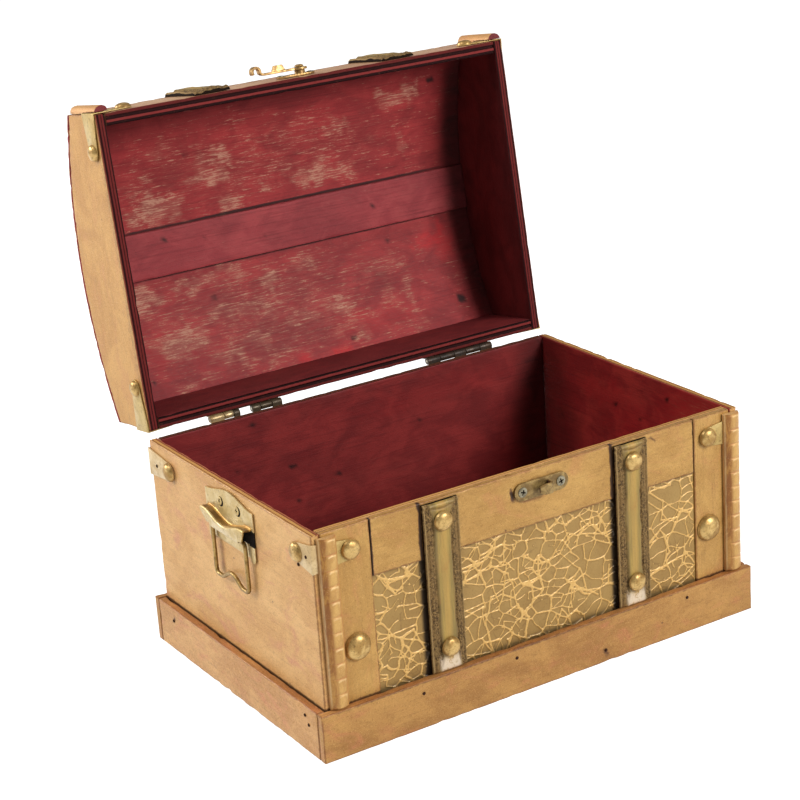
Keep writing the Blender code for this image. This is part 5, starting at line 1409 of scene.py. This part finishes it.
def lid_strap_path():
    """Places and outward normals, as (y, z), up the lid's front, over its arch and down its back.

    The normals are softened where the run turns a corner, so that the strap bends instead of breaking.
    """
    front_top, back_top = arch_z(LID_FRONT_Y), arch_z(LID_BACK_Y)
    foot = LID_RIM_Z + 1.2
    frames = [((LID_FRONT_Y, foot + (front_top - foot) * k / 8), (-1.0, 0.0)) for k in range(9)]
    for k in range(61):
        y = LID_FRONT_Y + (LID_BACK_Y - LID_FRONT_Y) * k / 60
        z = arch_z(y)
        frames.append(((y, z), ((y - ARCH_Y) / ARCH_RADIUS, (z - ARCH_Z) / ARCH_RADIUS)))
    frames += [((LID_BACK_Y, back_top + (LID_RIM_Z + 18.0 - back_top) * k / 8), (1.0, 0.0)) for k in range(1, 9)]
    places, turns = (np.array(part) for part in zip(*frames))
    for _ in range(2):
        turns[1:-1] = (turns[:-2] + 2 * turns[1:-1] + turns[2:]) / 4
    return places, turns / np.linalg.norm(turns, axis=1)[:, None]


def make_lid_strap(hand, sign, centre):
    rng = np.random.default_rng(51 if sign < 0 else 53)
    places, turns = lid_strap_path()
    lengths = np.concatenate([[0], np.cumsum(np.linalg.norm(np.diff(places, axis=0), axis=1))])
    vs = np.linspace(0, lengths[-1], 260)
    ys, zs, ny, nz = (np.interp(vs, lengths, row) for row in (*places.T, *turns.T))
    us = np.linspace(-STRAP_WIDTH / 2, STRAP_WIDTH / 2, 49)
    grid_u, grid_v = np.meshgrid(us, vs, indexing="ij")
    shape = grid_u.shape
    pad = bump_shape(grid_u, 4.9 + smooth_noise(shape, 0.9, 9, rng) * 0.4, 1.3)
    margin = unit((np.abs(grid_u) - 10.1) / 0.9)
    end = np.exp(-grid_v / 13.0)
    crumple = smooth_noise(shape, 0.7, 5.0, rng) * (0.22 + 0.8 * end)
    crumple = crumple + smooth_noise(shape, 0.7, 2.2, rng) * (0.1 + 0.5 * end)
    heights = 2.0 + pad * 1.2 * (1 - 0.5 * end) + margin * 0.5 + crumple - (1 - strap_arris(grid_u)) * 1.0
    heights = np.clip(heights, 0.9, 3.5) * (0.6 + 0.4 * np.sqrt(unit(grid_v / 1.5)))
    dark = unit(1 - pad - margin * 0.5 + 1.2 * end)
    # light is a painted highlight along both long edges, fading towards the strap's end
    light = 0.55 * unit((np.abs(grid_u) - 10.8) / 0.7) * (1 - end)
    above_foot = 44  # past the part of a strap that its material shows worn

    def to_place(u, v, h):
        index = np.rint(np.interp(v - above_foot, vs, np.arange(len(vs)))).astype(int)
        return centre + u, ys[index] + ny[index] * (0.3 + h), zs[index] + nz[index] * (0.3 + h)

    relief("top_strap_" + hand, "lid", "lid_strap_" + hand, us, vs + above_foot, heights, to_place,
           "strap_leather strap_edge", {"channel": dark, "arris": light}, 55, closed_back=True)


def trim_paint(centre, normal):
    return 1 if normal[2] < -0.5 else 0


def make_lid_trim():
    for hand, sign, strap_x, _ in HANDS:
        make_lid_strap(hand, sign, strap_x)
    for hand, *_ in HANDS:
        worn_copy("trim_lid_" + hand, "lid_moulding_" + hand, "lid", (2, 0, 1), trim_paint, "gold_trim red_rail",
                  soft=0.4, cell=5.0)


# Stage, lamps and camera

def make_stage():
    """A white floor, which looks evenly white to the camera and in reflections, and grey to the light around."""
    mesh = bpy.data.meshes.new("floor")
    reach, drop = 9.0, -0.0003
    mesh.from_pydata([(-reach, -reach, drop), (reach, -reach, drop), (reach, reach, drop), (-reach, reach, drop)],
                     [], [(0, 1, 2, 3)])
    floor = bpy.data.objects.new("floor", mesh)
    bpy.context.scene.collection.objects.link(floor)
    g = Graph("floor_white")
    diffuse = g.get("ShaderNodeBsdfDiffuse", 0, {"Color": (0.56, 0.56, 0.56, 1)})
    glow = g.get("ShaderNodeEmission", 0,
                 {"Color": (1, 1, 1, 1), "Strength": g.ray("Camera", "Glossy", "Transmission") * 0.84})
    g.end(g.get("ShaderNodeAddShader", 0, {0: diffuse, 1: glow}))
    mesh.materials.append(g.owner)


def make_world():
    """White all round: bright to the camera, and dimmer as a light."""
    world = bpy.data.worlds.new("studio")
    bpy.context.scene.world = world
    g = Graph(world, "ShaderNodeOutputWorld")
    strength = g.get("ShaderNodeMapRange", "Result",
                     {"Value": g.ray("Camera", "Transmission"), "To Min": 0.3, "To Max": 1.0})
    g.end(g.get("ShaderNodeBackground", 0, {"Color": (1, 1, 1, 1), "Strength": strength}))


def lamp(name, place, target_z, size, watts):
    data = bpy.data.lights.new(name, "AREA")
    data.shape = "RECTANGLE"
    data.size = data.size_y = size
    data.energy = watts
    light = bpy.data.objects.new(name, data)
    light.location = place
    light.rotation_euler = (Vector((0, 0, target_z)) - Vector(place)).to_track_quat("-Z", "Y").to_euler()
    bpy.context.scene.collection.objects.link(light)


def make_lamps():
    lamp("right_front", (0.9, -1.9, 1.2), 0.14, 0.8, 45)
    lamp("left_back", (-1.4, 1.6, 0.9), 0.1, 0.5, 30)
    lamp("left_top", (-1.2, 0.3, 1.9), 0.1, 0.8, 17)


# The camera that was fitted to the photograph's corners
CAMERA_PLACE = Vector((-0.653442, -1.037495, 0.589860))
CAMERA_RIGHT = Vector((0.842239, -0.535083, -0.065728))
CAMERA_UP = Vector((0.233075, 0.251479, 0.939379))
FOCAL_PIXELS, PHOTO_PIXELS = 2143.0, 800


def make_camera():
    data = bpy.data.cameras.new("camera")
    data.sensor_width = 36.0
    data.lens = FOCAL_PIXELS / PHOTO_PIXELS * data.sensor_width
    data.clip_start, data.clip_end = 0.05, 50
    camera = bpy.data.objects.new("camera", data)
    bpy.context.scene.collection.objects.link(camera)
    turn = Matrix((CAMERA_RIGHT, CAMERA_UP, CAMERA_RIGHT.cross(CAMERA_UP))).transposed().to_4x4()
    camera.matrix_world = Matrix.Translation(CAMERA_PLACE) @ turn
    bpy.context.scene.camera = camera


def make_all():
    bpy.context.scene.view_settings.view_transform = "Standard"
    make_body_boards()
    make_lid_boards()
    make_field()
    for hand, sign, strap_x, _ in HANDS:
        make_strap(hand, sign, strap_x)
    for hand, sign, _, moulding_x in HANDS:
        make_moulding(hand, sign, moulding_x)
    for make in (make_domes, make_pins, make_plain_metal, make_screws, make_handles, make_lid_trim,
                 make_stage, make_world, make_lamps, make_camera):
        make()


make_all()
